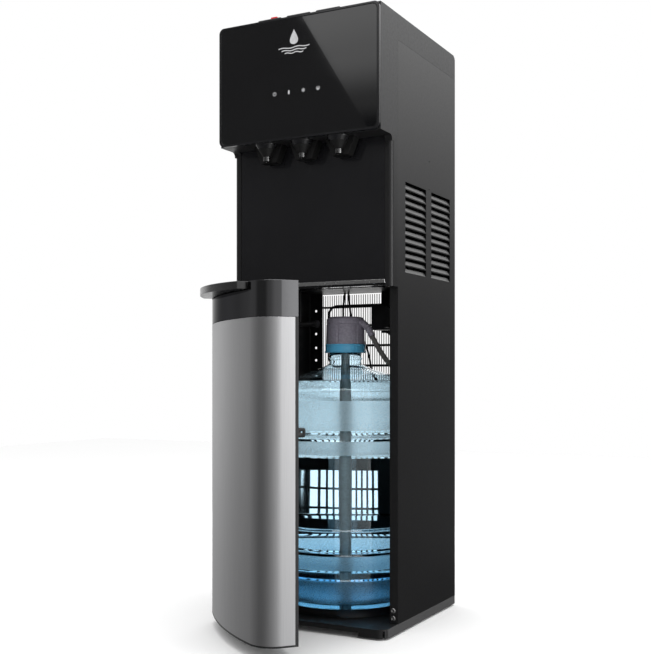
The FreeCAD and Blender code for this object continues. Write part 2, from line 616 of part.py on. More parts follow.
def condenser():
    """One tube that runs to and fro behind the sheet, and upright wires welded across it."""
    tubes = []
    for row in range(CONDENSER_ROWS):
        height = f"tube_top - {row}*tube_pitch"
        tubes.append(rod("tube_radius", ("-tube_half", "tube_y", height), "2*tube_half", "x"))
        if row == CONDENSER_ROWS - 1:
            break
        bend = doc.addObject("Part::Torus", "bend")
        side = 1 if row % 2 else -1
        across = FreeCAD.Vector(side, 0, 0)
        along = FreeCAD.Vector(0, 1, 0)
        bend.Placement.Rotation = FreeCAD.Rotation(across.cross(along), across, along, "ZXY")
        bend.setExpression("Radius1", formula("tube_pitch/2"))
        bend.setExpression("Radius2", formula("tube_radius"))
        bend.Angle3 = 180
        place(bend, f"{side}*tube_half", "tube_y", f"{height} - tube_pitch/2")
        tubes.append(bend)
    subpart("condenser_tube", join(*tubes))
    wires = [rod("wire_radius", (f"{number}*wire_pitch", "wire_y", "wire_low"), "wire_high - wire_low")
             for number in range(-WIRES_EACH_SIDE, WIRES_EACH_SIDE + 1)]
    rails = [box(("-rail_half", "rail_half"),
                 ("wire_y - rail_thickness/2", "wire_y + rail_thickness/2"),
                 (low, f"{low} + rail_height"))
             for low in ("wire_low + rail_foot", "wire_low + rail_middle", "wire_high - rail_head")]
    arms = [box((left, f"{left} + arm"), ("back_sheet + sheet", "wire_y"),
                (low, f"{low} + rail_height"))
            for left in ("-rail_half", "rail_half - arm")
            for low in ("wire_low + rail_foot", "wire_high - rail_head")]
    subpart("condenser_wires", join(*wires, *rails, *arms))


def water_path():
    lines = []
    for _, number in BUTTON_PLACES:
        x = f"{number}*spout_pitch"
        lines.append(join(rod("line_radius", (x, "-spout_y", "head_floor"), "line_height"),
                          rod("line_radius", (x, "-spout_y", "head_floor + line_height"),
                              "spout_y - line_end", "y")))
    subpart("water_lines", group(*lines))
    body = box(("pump_left", "pump_right"), ("pump_front", "back_sheet - pump_clear"),
               ("pump_low", "pump_high"))
    motor = rod("motor_radius", ("motor_x", "motor_front", "motor_z"),
                "pump_front - motor_front + 2", "y")
    inlet = rod("inlet_radius", ("inlet_x", "inlet_y", "inlet_low"), "inlet_height")
    lug = box(("pump_right - 2", "inlet_x + inlet_radius + 2"), ("inlet_y - 8", "inlet_y + 8"),
              ("pump_low + 5", "pump_low + 23"))
    subpart("pump", join(body, motor, lug, inlet))
    plate_y = ("back_sheet - bracket_clear - bracket", "back_sheet - bracket_clear")
    upper = box(("bracket_left", "bracket_right"), plate_y, ("bracket_knee", "ceiling"))
    lower = box(("bracket_step", "bracket_right"), plate_y, ("bracket_low", "bracket_knee + 1"))
    centre = "bracket_step - bracket_round"
    fill = cut(box((centre, "bracket_step + 1"), plate_y,
                   ("bracket_knee - bracket_round", "bracket_knee + 0.5")),
               rod("bracket_round", (centre, "pump_front", "bracket_knee - bracket_round"),
                   "back_sheet - pump_front", "y"))
    subpart("pump_bracket", join(upper, lower, fill))


# ---------------------------------------------------------------- back of the cabinet
def rocker_switches():
    plate = rounded(box(("rocker_x - plate_half", "rocker_x + plate_half"),
                        ("depth/2", "depth/2 + plate"),
                        ("rocker_z - plate_tall", "rocker_z + plate_tall")), "plate_round",
                    lambda edge: edge.BoundBox.YLength > 1.5)
    holes = []
    for name, number in ROCKER_PLACES:
        x = f"rocker_x + {number}*rocker_pitch"
        holes.append(box((f"{x} - switch_hole", f"{x} + switch_hole"),
                         ("depth/2 - past", "depth/2 + plate + past"),
                         ("rocker_z - switch_tall", "rocker_z + switch_tall")))
        face = box((f"{x} - rocker_half", f"{x} + rocker_half"), ("-rocker_deep", "rocker_proud"),
                   ("-rocker_tall", "rocker_tall"))
        rocker = join(face, rod("pivot_radius", (f"{x} - pivot_half", "0", "0"), "2*pivot_half", "x"))
        turn = "rotation(vector(1; 0; 0); -rocker_lean)"
        rocker.setExpression("Placement", formula(
            f"placement(vector(0; depth/2 + plate/2; rocker_z); {turn}; vector(0; 0; 0))"))
        subpart(f"switch_{name}", rocker)
    subpart("switch_plate", cut(plate, *holes))


def drain_and_gland():
    drain = ("drain_x", "depth/2 - drain_inside", "drain_z")
    stub = cut(rod("drain_radius", drain, "drain_length", "y"),
               rod("drain_bore", ("drain_x", "depth/2 - drain_inside - past", "drain_z"),
                   "drain_length + 2*past", "y"))
    plug = cut(rod("plug_radius", ("drain_x", "depth/2 + plug_gap", "drain_z"), "plug_length", "y"),
               rod("plug_bore", ("drain_x", "depth/2 - past", "drain_z"), "plug_length - 2", "y"))
    grip = box(("drain_x - 1.5", "drain_x + 1.5"),
               ("depth/2 + plug_gap + plug_length", "depth/2 + plug_gap + plug_length + plug_rib"),
               ("drain_z - plug_radius + 2", "drain_z + plug_radius - 2"))
    subpart("drain_plug", join(plug, grip))
    neck = rod("gland_neck", ("gland_x", "depth/2 - gland_inside", "gland_z"), "gland_length", "y")
    cone = taper("gland_wide", "gland_narrow", ("gland_x", "depth/2", "gland_z"), "gland_length", "y")
    gland = cut(join(neck, cone),
                rod("gland_bore", ("gland_x", "depth/2 - gland_inside - past", "gland_z"),
                    "gland_inside + gland_length + 2*past", "y"))
    subpart("rear_fittings", group(stub, gland))


def screws():
    front = [rod("front_screw", (f"{side}*front_screw_x", "-depth/2 - front_screw_height", f"{height}"),
                 "front_screw_height", "y") for side in (-1, 1) for height in FRONT_SCREW_HEIGHTS]
    rear = [rod("rear_screw", (f"{side}*rear_screw_x", "depth/2", f"{height}"),
                "rear_screw_height", "y") for side in (-1, 1) for height in REAR_SCREW_HEIGHTS]
    subpart("cabinet_screws", group(*front, *rear))


# ---------------------------------------------------------------- bottle and probe
def bottle_outline(inset):
    """Radius and height of the bottle's wall, moved inward by the formula inset."""
    inset = f"({inset})"
    hoop = f"hoop_radius - {inset}"
    groove = f"groove_radius - {inset}"
    neck = f"neck_radius - {inset}"
    wall = [(f"hoop_radius - 14 - {inset}", f"seat_top + {inset}"),
            (hoop, f"seat_top + 12 + {inset}")]
    for low, high in BOTTLE_WAISTS:
        wall += [(hoop, f"{low}"), (groove, f"{low} + 4"), (groove, f"{high} - 4"), (hoop, f"{high}")]
    wall += [(hoop, "391"), (f"hoop_radius - 3 - {inset}", "409"),
             (f"hoop_radius - 18 - {inset}", f"424 - {inset}/2"), (f"85 - {inset}", f"436 - {inset}"),
             (f"48 - {inset}", f"447 - {inset}"), (neck, f"457 - {inset}")]
    return wall


def bottle():
    middle = ("0", "-bottle_y")
    mouth = [("neck_radius", "bottle_top"), ("neck_radius - bottle_wall", "bottle_top")]
    floor_inside = [("0", "seat_top + bottle_wall"), ("0", "seat_top")]
    subpart("bottle", lathe(bottle_outline("0") + mouth + bottle_outline("bottle_wall")[::-1]
                            + floor_inside, *middle))
    wet = [point for point in bottle_outline("bottle_wall + water_gap")
           if value(point[1]) < value("water_top")]
    bore = "pipe_radius + pipe_play"
    bed = [(bore, "seat_top + bottle_wall + water_gap")]
    surface = [("hoop_radius - water_rim", "water_top"), (bore, "water_top")]
    subpart("bottle_water", lathe(bed + wet + surface, *middle))


def probe_profile(play):
    """The probe cap's outline, grown by the formula play."""
    return [("0", f"probe_low - {play}"), (f"probe_wide + {play}/10", f"probe_low - {play}"),
            (f"probe_narrow + {play}/10", f"probe_edge + {play}/2"),
            ("probe_crown", f"probe_top + {play}"), ("0", f"probe_top + {play}")]


def probe_slot(degrees):
    """One upright slot in the cap's skirt, turned about the bottle's axis."""
    slot = group(box(("probe_wide - probe_slot_depth", "probe_wide + past"),
                     ("-probe_slot/2", "probe_slot/2"), ("probe_low", "probe_slot_top")))
    turn = f"rotation(vector(0; 0; 1); {degrees})"
    slot.setExpression("Placement", formula(
        f"placement(vector(0; -bottle_y; 0); {turn}; vector(0; 0; 0))"))
    return slot


def probe():
    middle = ("0", "-bottle_y")
    subpart("probe_pipe", cut(rod("pipe_radius", (*middle, "pipe_low"), "bottle_top + 10 - pipe_low"),
                              rod("pipe_radius - pipe_wall", (*middle, "0"), "beyond")))
    subpart("probe_collar", cut(rod("collar_radius", (*middle, "bottle_top"), "collar"),
                                rod("pipe_radius + gap", (*middle, "bottle_top - past"),
                                    "collar + 2*past")))
    slots = [probe_slot(f"probe_slot_turn + {number}*360/{PROBE_SLOTS}")
             for number in range(PROBE_SLOTS)]
    subpart("probe_cap", cut(lathe(probe_profile("0"), *middle), *slots))
    start, halfway, end = (FreeCAD.Vector(*point) for point in ELBOW_ROUTE)
    path = Part.Wire([Part.Arc(start, halfway, end).toShape()])
    heading = path.Edges[0].tangentAt(path.Edges[0].FirstParameter)
    section = Part.Wire(Part.makeCircle(value("elbow_radius"), start, heading))
    sleeve = doc.addObject("Part::Feature", "sleeve")
    sleeve.Shape = path.makePipeShell([section], True, False)
    subpart("probe_elbow", cut(sleeve, lathe(probe_profile("1"), *middle)))


def hanger():
    """A bar under the ceiling on which the probe hangs while the bottle is changed."""
    arm = rod("hanger_radius", ("-hanger_left", "-hanger_y", "hanger_z"),
              "hanger_left - hanger_right", "x")
    hook = rod("hook_radius", ("-hook_left", "-hanger_y", "hanger_z"), "hook_left - hook_right", "x")
    strap = box(("-hanger_left", "-strap_right"), ("-hanger_y - strap_half", "-hanger_y + strap_half"),
                ("hanger_z", "ceiling"))
    subpart("probe_hanger", join(arm, hook, strap))


# ---------------------------------------------------------------- door, drawn shut
def door_solid(inset, low, high, back):
    """The door's bowed outline, moved inward by the formula inset."""
    inset = f"({inset})"
    half = f"door_half - {inset}"
    block = box((f"-({half})", half), ("-door_bow - past", f"-({back})"), (low, high))
    bow = rod(f"bow_radius - {inset}", ("0", "bow_radius - door_bow", low), f"({high}) - ({low})")
    corner_y = value(f"bow_radius - door_bow - sqrt((bow_radius - {inset})^2 - ({half})^2)")
    return rounded(common(block, bow), f"door_corner - {inset}",
                   lambda edge: upright(edge) and abs(edge.BoundBox.YMin - corner_y) < 0.5)


def slice_of(solid, x, y):
    """The part of an upright solid between the low and high formulas given for x and y."""
    return common(solid, box(x, y, ("0", "beyond")))


def on_door(name, item):
    """Swing a piece that was drawn with the door shut out to the open rest pose."""
    turn = "rotation(vector(0; 0; 1); -door_angle)"
    item.setExpression("Placement", formula(
        f"placement(vector(0; 0; 0); {turn}; vector(-hinge_x; -hinge_y; 0))"))
    subpart(name, item)


def door():
    on_door("door_skin", cut(door_solid("0", "door_low + door_sole", "steel_top",
                                        "door_back + door_rim"),
                             door_solid("skin", "door_low", "steel_top + past", "door_back")))
    sole = door_solid("0", "door_low", "door_low + door_sole", "door_back")
    shell = cut(door_solid("liner_gap", "door_low + 1", "steel_top", "door_back"),
                door_solid("liner_gap + liner", "door_low + door_sole", "steel_top + past",
                           "door_back - past"))
    inside = "door_half - liner_gap - liner"
    rim = cut(slice_of(door_solid("0", "door_low + 1", "steel_top", "door_back"),
                       ("-width", "width"), ("-(door_back + door_rim)", "-door_back")),
              box((f"-({inside})", inside), ("-door_bow", "-door_back + past"),
                  ("door_low + door_sole", "beyond")))
    on_door("door_liner", join(sole, shell, rim))
    on_door("door_cap", door_cap())
    pins = [rod("pin_radius", ("-hinge_x", "-hinge_y", low), "pin_length")
            for low in ("door_low - pin_length", "door_top")]
    on_door("door_hinge_pins", group(*pins))


def door_cap():
    """A hollow cap, stepped down in the middle for the tray, with a hole for the tray's well."""
    shell = cut(door_solid("0", "steel_top", "door_top", "door_back"),
                door_solid("cap_sheet", "steel_top - past", "door_top - cap_sheet",
                           "door_back + cap_sheet"))
    shelf = slice_of(door_solid("1", "cap_step - cap_sheet", "cap_step", "door_back + 1"),
                     ("-shoulder", "shoulder"), ("-width", "0"))
    plate = door_solid("1", "cap_step - 1", "door_top - 1", "door_back + 1")
    cheeks = common(plate, join(box(("-shoulder", "-shoulder + cap_sheet"), ("-width", "0"),
                                    ("0", "beyond")),
                                box(("shoulder - cap_sheet", "shoulder"), ("-width", "0"),
                                    ("0", "beyond"))))
    recess = box(("-shoulder + cap_sheet", "shoulder - cap_sheet"), ("-width", "-door_back - cap_back"),
                 ("cap_step", "beyond"))
    well = box(("-well_half - well_clear", "well_half + well_clear"),
               ("-well_front - well_clear", "-well_back + well_clear"), ("steel_top", "beyond"))
    back = slice_of(door_solid("0", "steel_top", "door_top", "door_back"),
                    ("-width", "width"), ("-door_back - cap_back", "-door_back"))
    return cut(join(shell, shelf, cheeks, back), recess, well)


def tray_outline(inset, low, high):
    """The tray's D shape: straight at the back, an arc towards the user."""
    inset = f"({inset})"
    block = rounded(box((f"-(tray_half - {inset})", f"tray_half - {inset}"),
                        ("-tray_reach - past", f"-(tray_back + {inset})"), (low, high)),
                    "tray_corner", lambda edge: upright(edge) and edge.BoundBox.YMin > -200)
    arc = rod(f"tray_radius - {inset}", ("0", "tray_radius - tray_reach", low), f"({high}) - ({low})")
    return common(block, arc)


def tray():
    lip = cut(tray_outline("0", "tray_low", "door_top"),
              tray_outline("tray_wall", "tray_low + tray_wall", "door_top + past"))
    well = box(("-well_half", "well_half"), ("-well_front", "-well_back"),
               ("tray_floor", "tray_low + 1"))
    hollow = box(("-well_half + tray_wall", "well_half - tray_wall"),
                 ("-well_front + tray_wall", "-well_back - tray_wall"),
                 ("tray_floor + tray_wall", "beyond"))
    on_door("drip_tray", cut(join(lip, well), hollow))
    plate = tray_outline("tray_wall + grille_play", "door_top - grille_drop - grille",
                         "door_top - grille_drop")
    slits = [box((f"{x} - slit_half", f"{x} + slit_half"),
                 (f"-slit_front + {x * x}/slit_curve", "-slit_back"), ("tray_floor", "beyond"))
             for x in SLIT_PLACES]
    on_door("drip_grille", cut(plate, *slits))


plinth()
side_panel("side_panel_left", -1)
side_panel("side_panel_right", 1)
compartment()
rear_frame()
covers()
alcove()
head()
spouts()
buttons()
electronics()
tanks()
compressor()
condenser()
water_path()
rocker_switches()
drain_and_gland()
screws()
bottle()
probe()
hanger()
cord("probe_hose", HOSE_ROUTE, "hose_radius")
cord("sensor_cable", SENSOR_ROUTE, "cable_radius")
cord("pump_cable", PUMP_ROUTE, "cable_radius")
door()
tray()
doc.recompute()

failed = [item.Label for item in doc.Objects if {"Invalid", "Error"} & set(item.State)]
failed += [item.Label for item in subparts if item.Shape.isNull() or not item.Shape.isValid()]
if failed:
    raise RuntimeError(f"these failed: {failed}")

os.makedirs("parts", exist_ok=True)
for item in subparts:
    item.Shape.exportStep(f"parts/{item.Label}.step")
    bounds = item.Shape.BoundBox
    print(f"{item.Label}: {len(item.Shape.Solids)} solid(s), {item.Shape.Volume / 1000:.1f} cm3, "
          f"x {bounds.XMin:.1f}..{bounds.XMax:.1f} y {bounds.YMin:.1f}..{bounds.YMax:.1f} "
          f"z {bounds.ZMin:.1f}..{bounds.ZMax:.1f}")
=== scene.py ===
"""The looks of a floor-standing water dispenser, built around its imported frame, in metres."""
import json
import math

import bmesh
import bpy
from mathutils import Matrix, Vector


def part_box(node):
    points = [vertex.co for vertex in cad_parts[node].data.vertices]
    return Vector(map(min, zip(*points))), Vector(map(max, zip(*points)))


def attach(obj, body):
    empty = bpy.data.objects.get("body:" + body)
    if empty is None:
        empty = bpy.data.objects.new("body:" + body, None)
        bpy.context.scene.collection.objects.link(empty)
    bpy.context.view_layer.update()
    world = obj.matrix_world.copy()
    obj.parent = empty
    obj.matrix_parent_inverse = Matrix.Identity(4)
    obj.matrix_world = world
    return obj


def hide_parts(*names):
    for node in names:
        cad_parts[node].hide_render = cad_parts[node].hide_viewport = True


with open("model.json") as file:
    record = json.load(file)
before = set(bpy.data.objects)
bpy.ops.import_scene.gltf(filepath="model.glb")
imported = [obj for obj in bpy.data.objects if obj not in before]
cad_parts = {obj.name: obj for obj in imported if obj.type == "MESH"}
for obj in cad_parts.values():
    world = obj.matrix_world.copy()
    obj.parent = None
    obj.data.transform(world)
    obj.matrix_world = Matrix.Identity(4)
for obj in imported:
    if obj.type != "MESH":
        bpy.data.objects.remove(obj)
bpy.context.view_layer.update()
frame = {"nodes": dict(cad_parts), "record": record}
scene = bpy.context.scene
scene.view_settings.view_transform = "Standard"

MM = 0.001
WHITE = (1, 1, 1, 1)


# ---------------------------------------------------------------- camera and cords
EYE = (0.86828, -1.69764, 0.43171)
EYE_TILT = 90           # degrees from straight down
EYE_TURN = 27.454       # degrees to the left of straight ahead
SENSOR_WIDTH = 36       # millimetres, as is the lens
LENS = 56.6
SHIFT_ACROSS = -0.02888
SHIFT_UP = 0.0768


def camera():
    eye = bpy.data.objects.new("camera", bpy.data.cameras.new("camera"))
    scene.collection.objects.link(eye)
    eye.location = EYE
    eye.rotation_euler = (math.radians(EYE_TILT), 0, math.radians(EYE_TURN))
    eye.data.sensor_width = SENSOR_WIDTH
    eye.data.lens = LENS
    eye.data.shift_x = SHIFT_ACROSS
    eye.data.shift_y = SHIFT_UP
    scene.camera = eye


def cord_curve(name, route, radius):
    """One smooth NURBS line through the neighbourhood of the route's points, in millimetres."""
    data = bpy.data.curves.new(name, "CURVE")
    data.dimensions = "3D"
    data.bevel_depth = 1
    data.bevel_resolution = 6
    data.use_fill_caps = True
    line = data.splines.new("NURBS")
    line.points.add(len(route) - 1)
    for point, place in zip(line.points, route):
        point.co = (*(Vector(place) * MM), 1)
        point.radius = radius * MM
    line.order_u = 3
    line.use_endpoint_u = True
    line.resolution_u = 12
    piece = bpy.data.objects.new(name, data)
    scene.collection.objects.link(piece)
    return piece


def free_cord(name, node, slot, route, radius, length, stiffness):
    """A hanging cord that stands for node and runs from one thing to another."""
    piece = cord_curve(name, route, radius)
    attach(piece, "cabinet")
    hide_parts(node)
    return piece


HOSE_ROUTE = [(58, -30, 506), (76, -29, 473), (97, -18, 446), (117, 15, 432), (124, 55, 440),
              (118, 83, 464), (106, 92, 492), (100, 92, 518.9)]
SENSOR_ROUTE = [(-64, 100, 597.9), (-67, 97, 573.5), (-66, 96, 548), (-61, 84, 524),
                (-46, 62, 510), (-31, 37, 507), (-17.8, 10, 512)]
PUMP_ROUTE = [(-60, 106, 597.9), (-56, 103.5, 574.5), (-53, 103, 550), (-38, 101, 523),
              (-19, 100, 497), (-10, 101, 467), (-8, 104, 437), (12, 108, 416), (42, 108, 412),
              (64, 106, 430), (70, 103, 460), (68, 98, 492), (66, 94, 521.9)]

# each cord's piece, node, slot, route, radius, length and stiffness, in millimetres
CORDS = [("suction_hose", "probe_hose", "hose_grey", HOSE_ROUTE, 4.5, 247.8, "medium"),
         ("sensor_lead", "sensor_cable", "cable_black", SENSOR_ROUTE, 2, 165.8, "limp"),
         ("pump_lead", "pump_cable", "cable_black", PUMP_ROUTE, 2, 349.3, "limp")]

camera()
cords = [free_cord(*cord) for cord in CORDS]


# ---------------------------------------------------------------- studio
# the grey that mirrors see, by azimuth in degrees: 0 is in front of the object, 90 on its right
AROUND = [(-180, 0.3), (-145, 0.42), (-117, 0.42), (-100, 0.15), (-60, 0.11), (-38, 0.045), (-8, 0.045),
          (12, 0.12), (43, 0.25), (61, 0.28), (66, 0.8), (82, 0.8), (98, 0.4), (115, 0.2), (180, 0.3)]
# how far CLIMB takes over from AROUND, by azimuth
CLIMB_SHARE = [(-180, 0), (100, 0), (130, 1), (165, 1), (180, 0.6)]
# by height: 0 is straight down, 0.5 level and 1 straight up
LOW_FADE = [(0, 0.4), (0.4, 0.5), (0.5, 1), (1, 1)]
CLIMB = [(0, 0.007), (0.5, 0.009), (0.55, 0.024), (0.585, 0.17), (0.63, 0.4), (0.7, 0.95), (0.79, 1.1),
         (1, 0.7)]
FLOOR_REACH = 4
FLOOR_COLOUR = (0.95, 0.95, 0.95, 1)
# each softbox's centre, the directions of its two sides, their lengths and its power
SOFTBOXES = {
    "edge_strip": ((2.6, -0.55, 0.7), (0.2, 0.98, 0), (0, 0, 1), 0.3, 2.2, 12),
    "top_panel": ((0.2, -0.4, 3.0), (1, 0, 0), (0, 1, 0), 2.0, 2.0, 40),
    "rear_panel": ((-0.35, 1.1, 0.45), (-1, 0, 0), (0, 0, 1), 1.3, 1.1, 3),
}
BOARD_CENTRE = Vector((-0.99, -3.0, 2.14))
BOARD_ACROSS = Vector((0.853, 0, 0.521))
BOARD_UPWARD = Vector((-0.521, 0, 0.853))
BOARD_CORNERS = ((-0.5, -1.2), (0.5, -1.2), (0.5, 1.2), (-0.5, 1.2))
# the board's glow along height * 1.25 - 1.9
BOARD_SCALE = 1.25
BOARD_OFFSET = -1.9
BOARD_GLOW = [(0.1, 0.01), (0.25, 0.22), (0.52, 0.9), (0.8, 1.15)]


def ramp(tree, source, stops):
    """A ramp of grey levels; each stop is a place from 0 to 1 and a level up to 2."""
    node = tree.nodes.new("ShaderNodeValToRGB")
    node.color_ramp.interpolation = "EASE"
    points = node.color_ramp.elements
    while len(points) < len(stops):
        points.new(0.5)
    for point, (place, level) in zip(points, stops):
        point.position = place
        point.color = (level, level, level, 1)
    tree.links.new(source, node.inputs["Fac"])
    return node.outputs["Color"]


def maths(tree, operation, *inputs):
    node = tree.nodes.new("ShaderNodeMath")
    node.operation = operation
    for socket, value in zip(node.inputs, inputs):
        if isinstance(value, (int, float)):
            socket.default_value = value
        else:
            tree.links.new(value, socket)
    return node.outputs[0]


def mix_colours(tree, factor, first, second, blend="MIX"):
    node = tree.nodes.new("ShaderNodeMix")
    node.data_type = "RGBA"
    node.blend_type = blend
    for socket, value in zip((node.inputs[0], node.inputs[6], node.inputs[7]), (factor, first, second)):
        if isinstance(value, (int, float, tuple)):
            socket.default_value = value
        else:
            tree.links.new(value, socket)
    return node.outputs[2]


def by_azimuth(stops):
    return [(degrees / 360 + 0.5, level) for degrees, level in stops]


def studio_world():
    """White to the eye and through the bottle; reflections see soft panels round the object."""
    world = bpy.data.worlds.new("studio")
    scene.world = world
    world.use_nodes = True
    tree = world.node_tree
    background = tree.nodes["Background"]
    split = tree.nodes.new("ShaderNodeSeparateXYZ")
    tree.links.new(tree.nodes.new("ShaderNodeTexCoord").outputs["Generated"], split.inputs[0])
    east, north, up = split.outputs
    azimuth = maths(tree, "ARCTAN2", east, maths(tree, "MULTIPLY", north, -1))
    turn = maths(tree, "MULTIPLY_ADD", azimuth, 1 / math.tau, 0.5)
    height = maths(tree, "MULTIPLY_ADD", up, 0.5, 0.5)
    around = mix_colours(tree, 1, ramp(tree, turn, by_azimuth(AROUND)), ramp(tree, height, LOW_FADE),
                         "MULTIPLY")
    seen = mix_colours(tree, ramp(tree, turn, by_azimuth(CLIMB_SHARE)), around, ramp(tree, height, CLIMB))
    rays = tree.nodes.new("ShaderNodeLightPath").outputs
    mirrored = maths(tree, "MULTIPLY", rays["Is Glossy Ray"],
                     maths(tree, "SUBTRACT", 1, rays["Is Transmission Ray"]))
    tree.links.new(mix_colours(tree, mirrored, WHITE, seen), background.inputs["Color"])
    tree.links.new(maths(tree, "ADD", mirrored, 1), background.inputs["Strength"])


def flat_sheet(name, corners):
    """A sheet with four corners and one new node material, whose tree comes with it."""
    mesh = bpy.data.meshes.new(name)
    mesh.from_pydata(corners, [], [(0, 1, 2, 3)])
    sheet = bpy.data.objects.new(name, mesh)
    scene.collection.objects.link(sheet)
    material = bpy.data.materials.new(name)
    material.use_nodes = True
    mesh.materials.append(material)
    return sheet, material.node_tree


def studio_floor():
    reach = FLOOR_REACH
    ground, tree = flat_sheet("floor", [(-reach, -reach, 0), (reach, -reach, 0), (reach, reach, 0),
                                        (-reach, reach, 0)])
    shader = tree.nodes["Principled BSDF"]
    shader.inputs["Base Color"].default_value = FLOOR_COLOUR
    shader.inputs["Roughness"].default_value = 1
    shader.inputs["Specular IOR Level"].default_value = 0
    ground.visible_glossy = False


def softbox(name, centre, across, upward, width, height, power):
    """A rectangular light whose sides run along across and upward; it shines against their cross product."""
    light = bpy.data.lights.new(name, "AREA")
    light.shape = "RECTANGLE"
    light.size = width
    light.size_y = height
    light.energy = power
    lamp = bpy.data.objects.new(name, light)
    scene.collection.objects.link(lamp)
    across = Vector(across).normalized()
    upward = Vector(upward).normalized()
    turn = Matrix((across, upward, across.cross(upward))).transposed()
    lamp.matrix_world = Matrix.Translation(centre) @ turn.to_4x4()
    lamp.visible_camera = False


def slanted_panel():
    """A glowing board in front, dimmer towards the floor, that only reflections see."""
    board, tree = flat_sheet("slanted_panel", [BOARD_CENTRE + BOARD_ACROSS * x + BOARD_UPWARD * y
                                               for x, y in BOARD_CORNERS])
    tree.nodes.remove(tree.nodes["Principled BSDF"])
    glow = tree.nodes.new("ShaderNodeEmission")
    split = tree.nodes.new("ShaderNodeSeparateXYZ")
    tree.links.new(tree.nodes.new("ShaderNodeTexCoord").outputs["Object"], split.inputs[0])
    height = maths(tree, "MULTIPLY_ADD", split.outputs[2], BOARD_SCALE, BOARD_OFFSET)
    tree.links.new(ramp(tree, height, BOARD_GLOW), glow.inputs["Color"])
    tree.links.new(glow.outputs[0], tree.nodes["Material Output"].inputs["Surface"])
    board.visible_camera = False
    board.visible_diffuse = False
    board.visible_transmission = False
    board.visible_shadow = False


studio_world()
studio_floor()
for light_name, lay_out in SOFTBOXES.items():
    softbox(light_name, *lay_out)
slanted_panel()


# ---------------------------------------------------------------- materials
SKIRT_SIDE = 0.154      # metres from the middle to the skirt's two sides
BOTTLE_SHADE_TOP = 0.2     # metres over the floor where the bottle's deeper blue, painted shade, has faded


class Finish:
    """A Principled material in the object's own coordinates, with one method for each detail."""

    def __init__(self, name, colour, roughness, **sockets):
        self.material = bpy.data.materials.new(name)
        self.material.use_nodes = True
        self.tree = self.material.node_tree
        self.shader = self.tree.nodes["Principled BSDF"]
        self.colour = colour
        self.shader.inputs["Base Color"].default_value = (*colour, 1)
        self.shader.inputs["Roughness"].default_value = roughness
        for socket, value in sockets.items():
            self.shader.inputs[socket.replace("_", " ")].default_value = value
        self.place = self.tree.nodes.new("ShaderNodeTexCoord").outputs["Object"]

    def scaled(self, size, stretch=(1, 1, 1)):
        """The coordinates, with size metres times stretch as the unit along each axis."""
        mapping = self.tree.nodes.new("ShaderNodeMapping")
        mapping.inputs["Scale"].default_value = [1 / (size * factor) for factor in stretch]
        self.tree.links.new(self.place, mapping.inputs["Vector"])
        return mapping.outputs[0]

    def noise(self, size, detail=3, stretch=(1, 1, 1)):
        """Noise whose blobs are about size metres across, drawn out by stretch."""
        texture = self.tree.nodes.new("ShaderNodeTexNoise")
        texture.inputs["Scale"].default_value = 1
        texture.inputs["Detail"].default_value = detail
        self.tree.links.new(self.scaled(size, stretch), texture.inputs["Vector"])
        return texture.outputs["Fac"]

    def cells(self, size):
        """Rounded cells about size metres across."""
        texture = self.tree.nodes.new("ShaderNodeTexVoronoi")
        texture.inputs["Scale"].default_value = 1
        self.tree.links.new(self.scaled(size), texture.inputs["Vector"])
        return texture.outputs["Distance"]

    def coordinate(self, axis):
        split = self.tree.nodes.new("ShaderNodeSeparateXYZ")
        self.tree.links.new(self.place, split.inputs[0])
        return split.outputs[axis]

    def spread(self, source, low, high, start=0.3, end=0.7):
        node = self.tree.nodes.new("ShaderNodeMapRange")
        for socket, value in zip(("From Min", "From Max", "To Min", "To Max"), (start, end, low, high)):
            node.inputs[socket].default_value = value
        self.tree.links.new(source, node.inputs["Value"])
        return node.outputs[0]

    def roughness(self, source, low, high, start=0.3, end=0.7):
        self.tree.links.new(self.spread(source, low, high, start, end), self.shader.inputs["Roughness"])
        return self

    def tint(self, source, other, start=0.35, end=0.65):
        """The colour drifts towards other with the source."""
        factor = self.spread(source, 0, 1, start, end)
        colour = mix_colours(self.tree, factor, (*self.colour, 1), (*other, 1))
        self.tree.links.new(colour, self.shader.inputs["Base Color"])
        return self

    def bump(self, source, depth):
        """Raise the look of the surface by depth metres where the source is high; calls add up."""
        node = self.tree.nodes.new("ShaderNodeBump")
        node.inputs["Distance"].default_value = depth
        node.inputs["Strength"].default_value = 1
        self.tree.links.new(source, node.inputs["Height"])
        normal = self.shader.inputs["Normal"]
        if normal.is_linked:
            self.tree.links.new(normal.links[0].from_socket, node.inputs["Normal"])
        self.tree.links.new(node.outputs[0], normal)
        return self


def powder_coat(name, colour, roughness):
    """Baked powder paint: orange peel with faint handling marks."""
    finish = Finish(name, colour, roughness, Specular_IOR_Level=0.5)
    finish.bump(finish.noise(0.0016), 0.000012)
    finish.roughness(finish.noise(0.004, 4), roughness - 0.03, roughness + 0.03)
    return finish.tint(finish.noise(0.003), [channel * 1.2 for channel in colour])


def plinth_coat_painted_side_light():
    """The cabinet's black paint; a lighter grey band of painted light along the skirt's two sides replaces
    its drift.
    """
    finish = powder_coat("plinth_coat_painted_side_light", (0.009, 0.009, 0.0095), 0.4)
    outward = maths(finish.tree, "ABSOLUTE", finish.coordinate(0))
    # painted light: the skirt's two outer sides get a lighter grey base colour than the rest of the plinth
    return finish.tint(outward, (0.075, 0.075, 0.076), SKIRT_SIDE - 0.0005, SKIRT_SIDE + 0.0005)


def moulded_plastic(name, colour, roughness, grain=0.0007):
    """Spark-textured moulded plastic, a little worn to gloss in patches."""
    finish = Finish(name, colour, roughness)
    finish.bump(finish.cells(grain), 0.00002)
    finish.roughness(finish.noise(0.005, 5), roughness - 0.04, roughness + 0.05)
    return finish.tint(finish.noise(0.004), [channel * 1.25 for channel in colour])


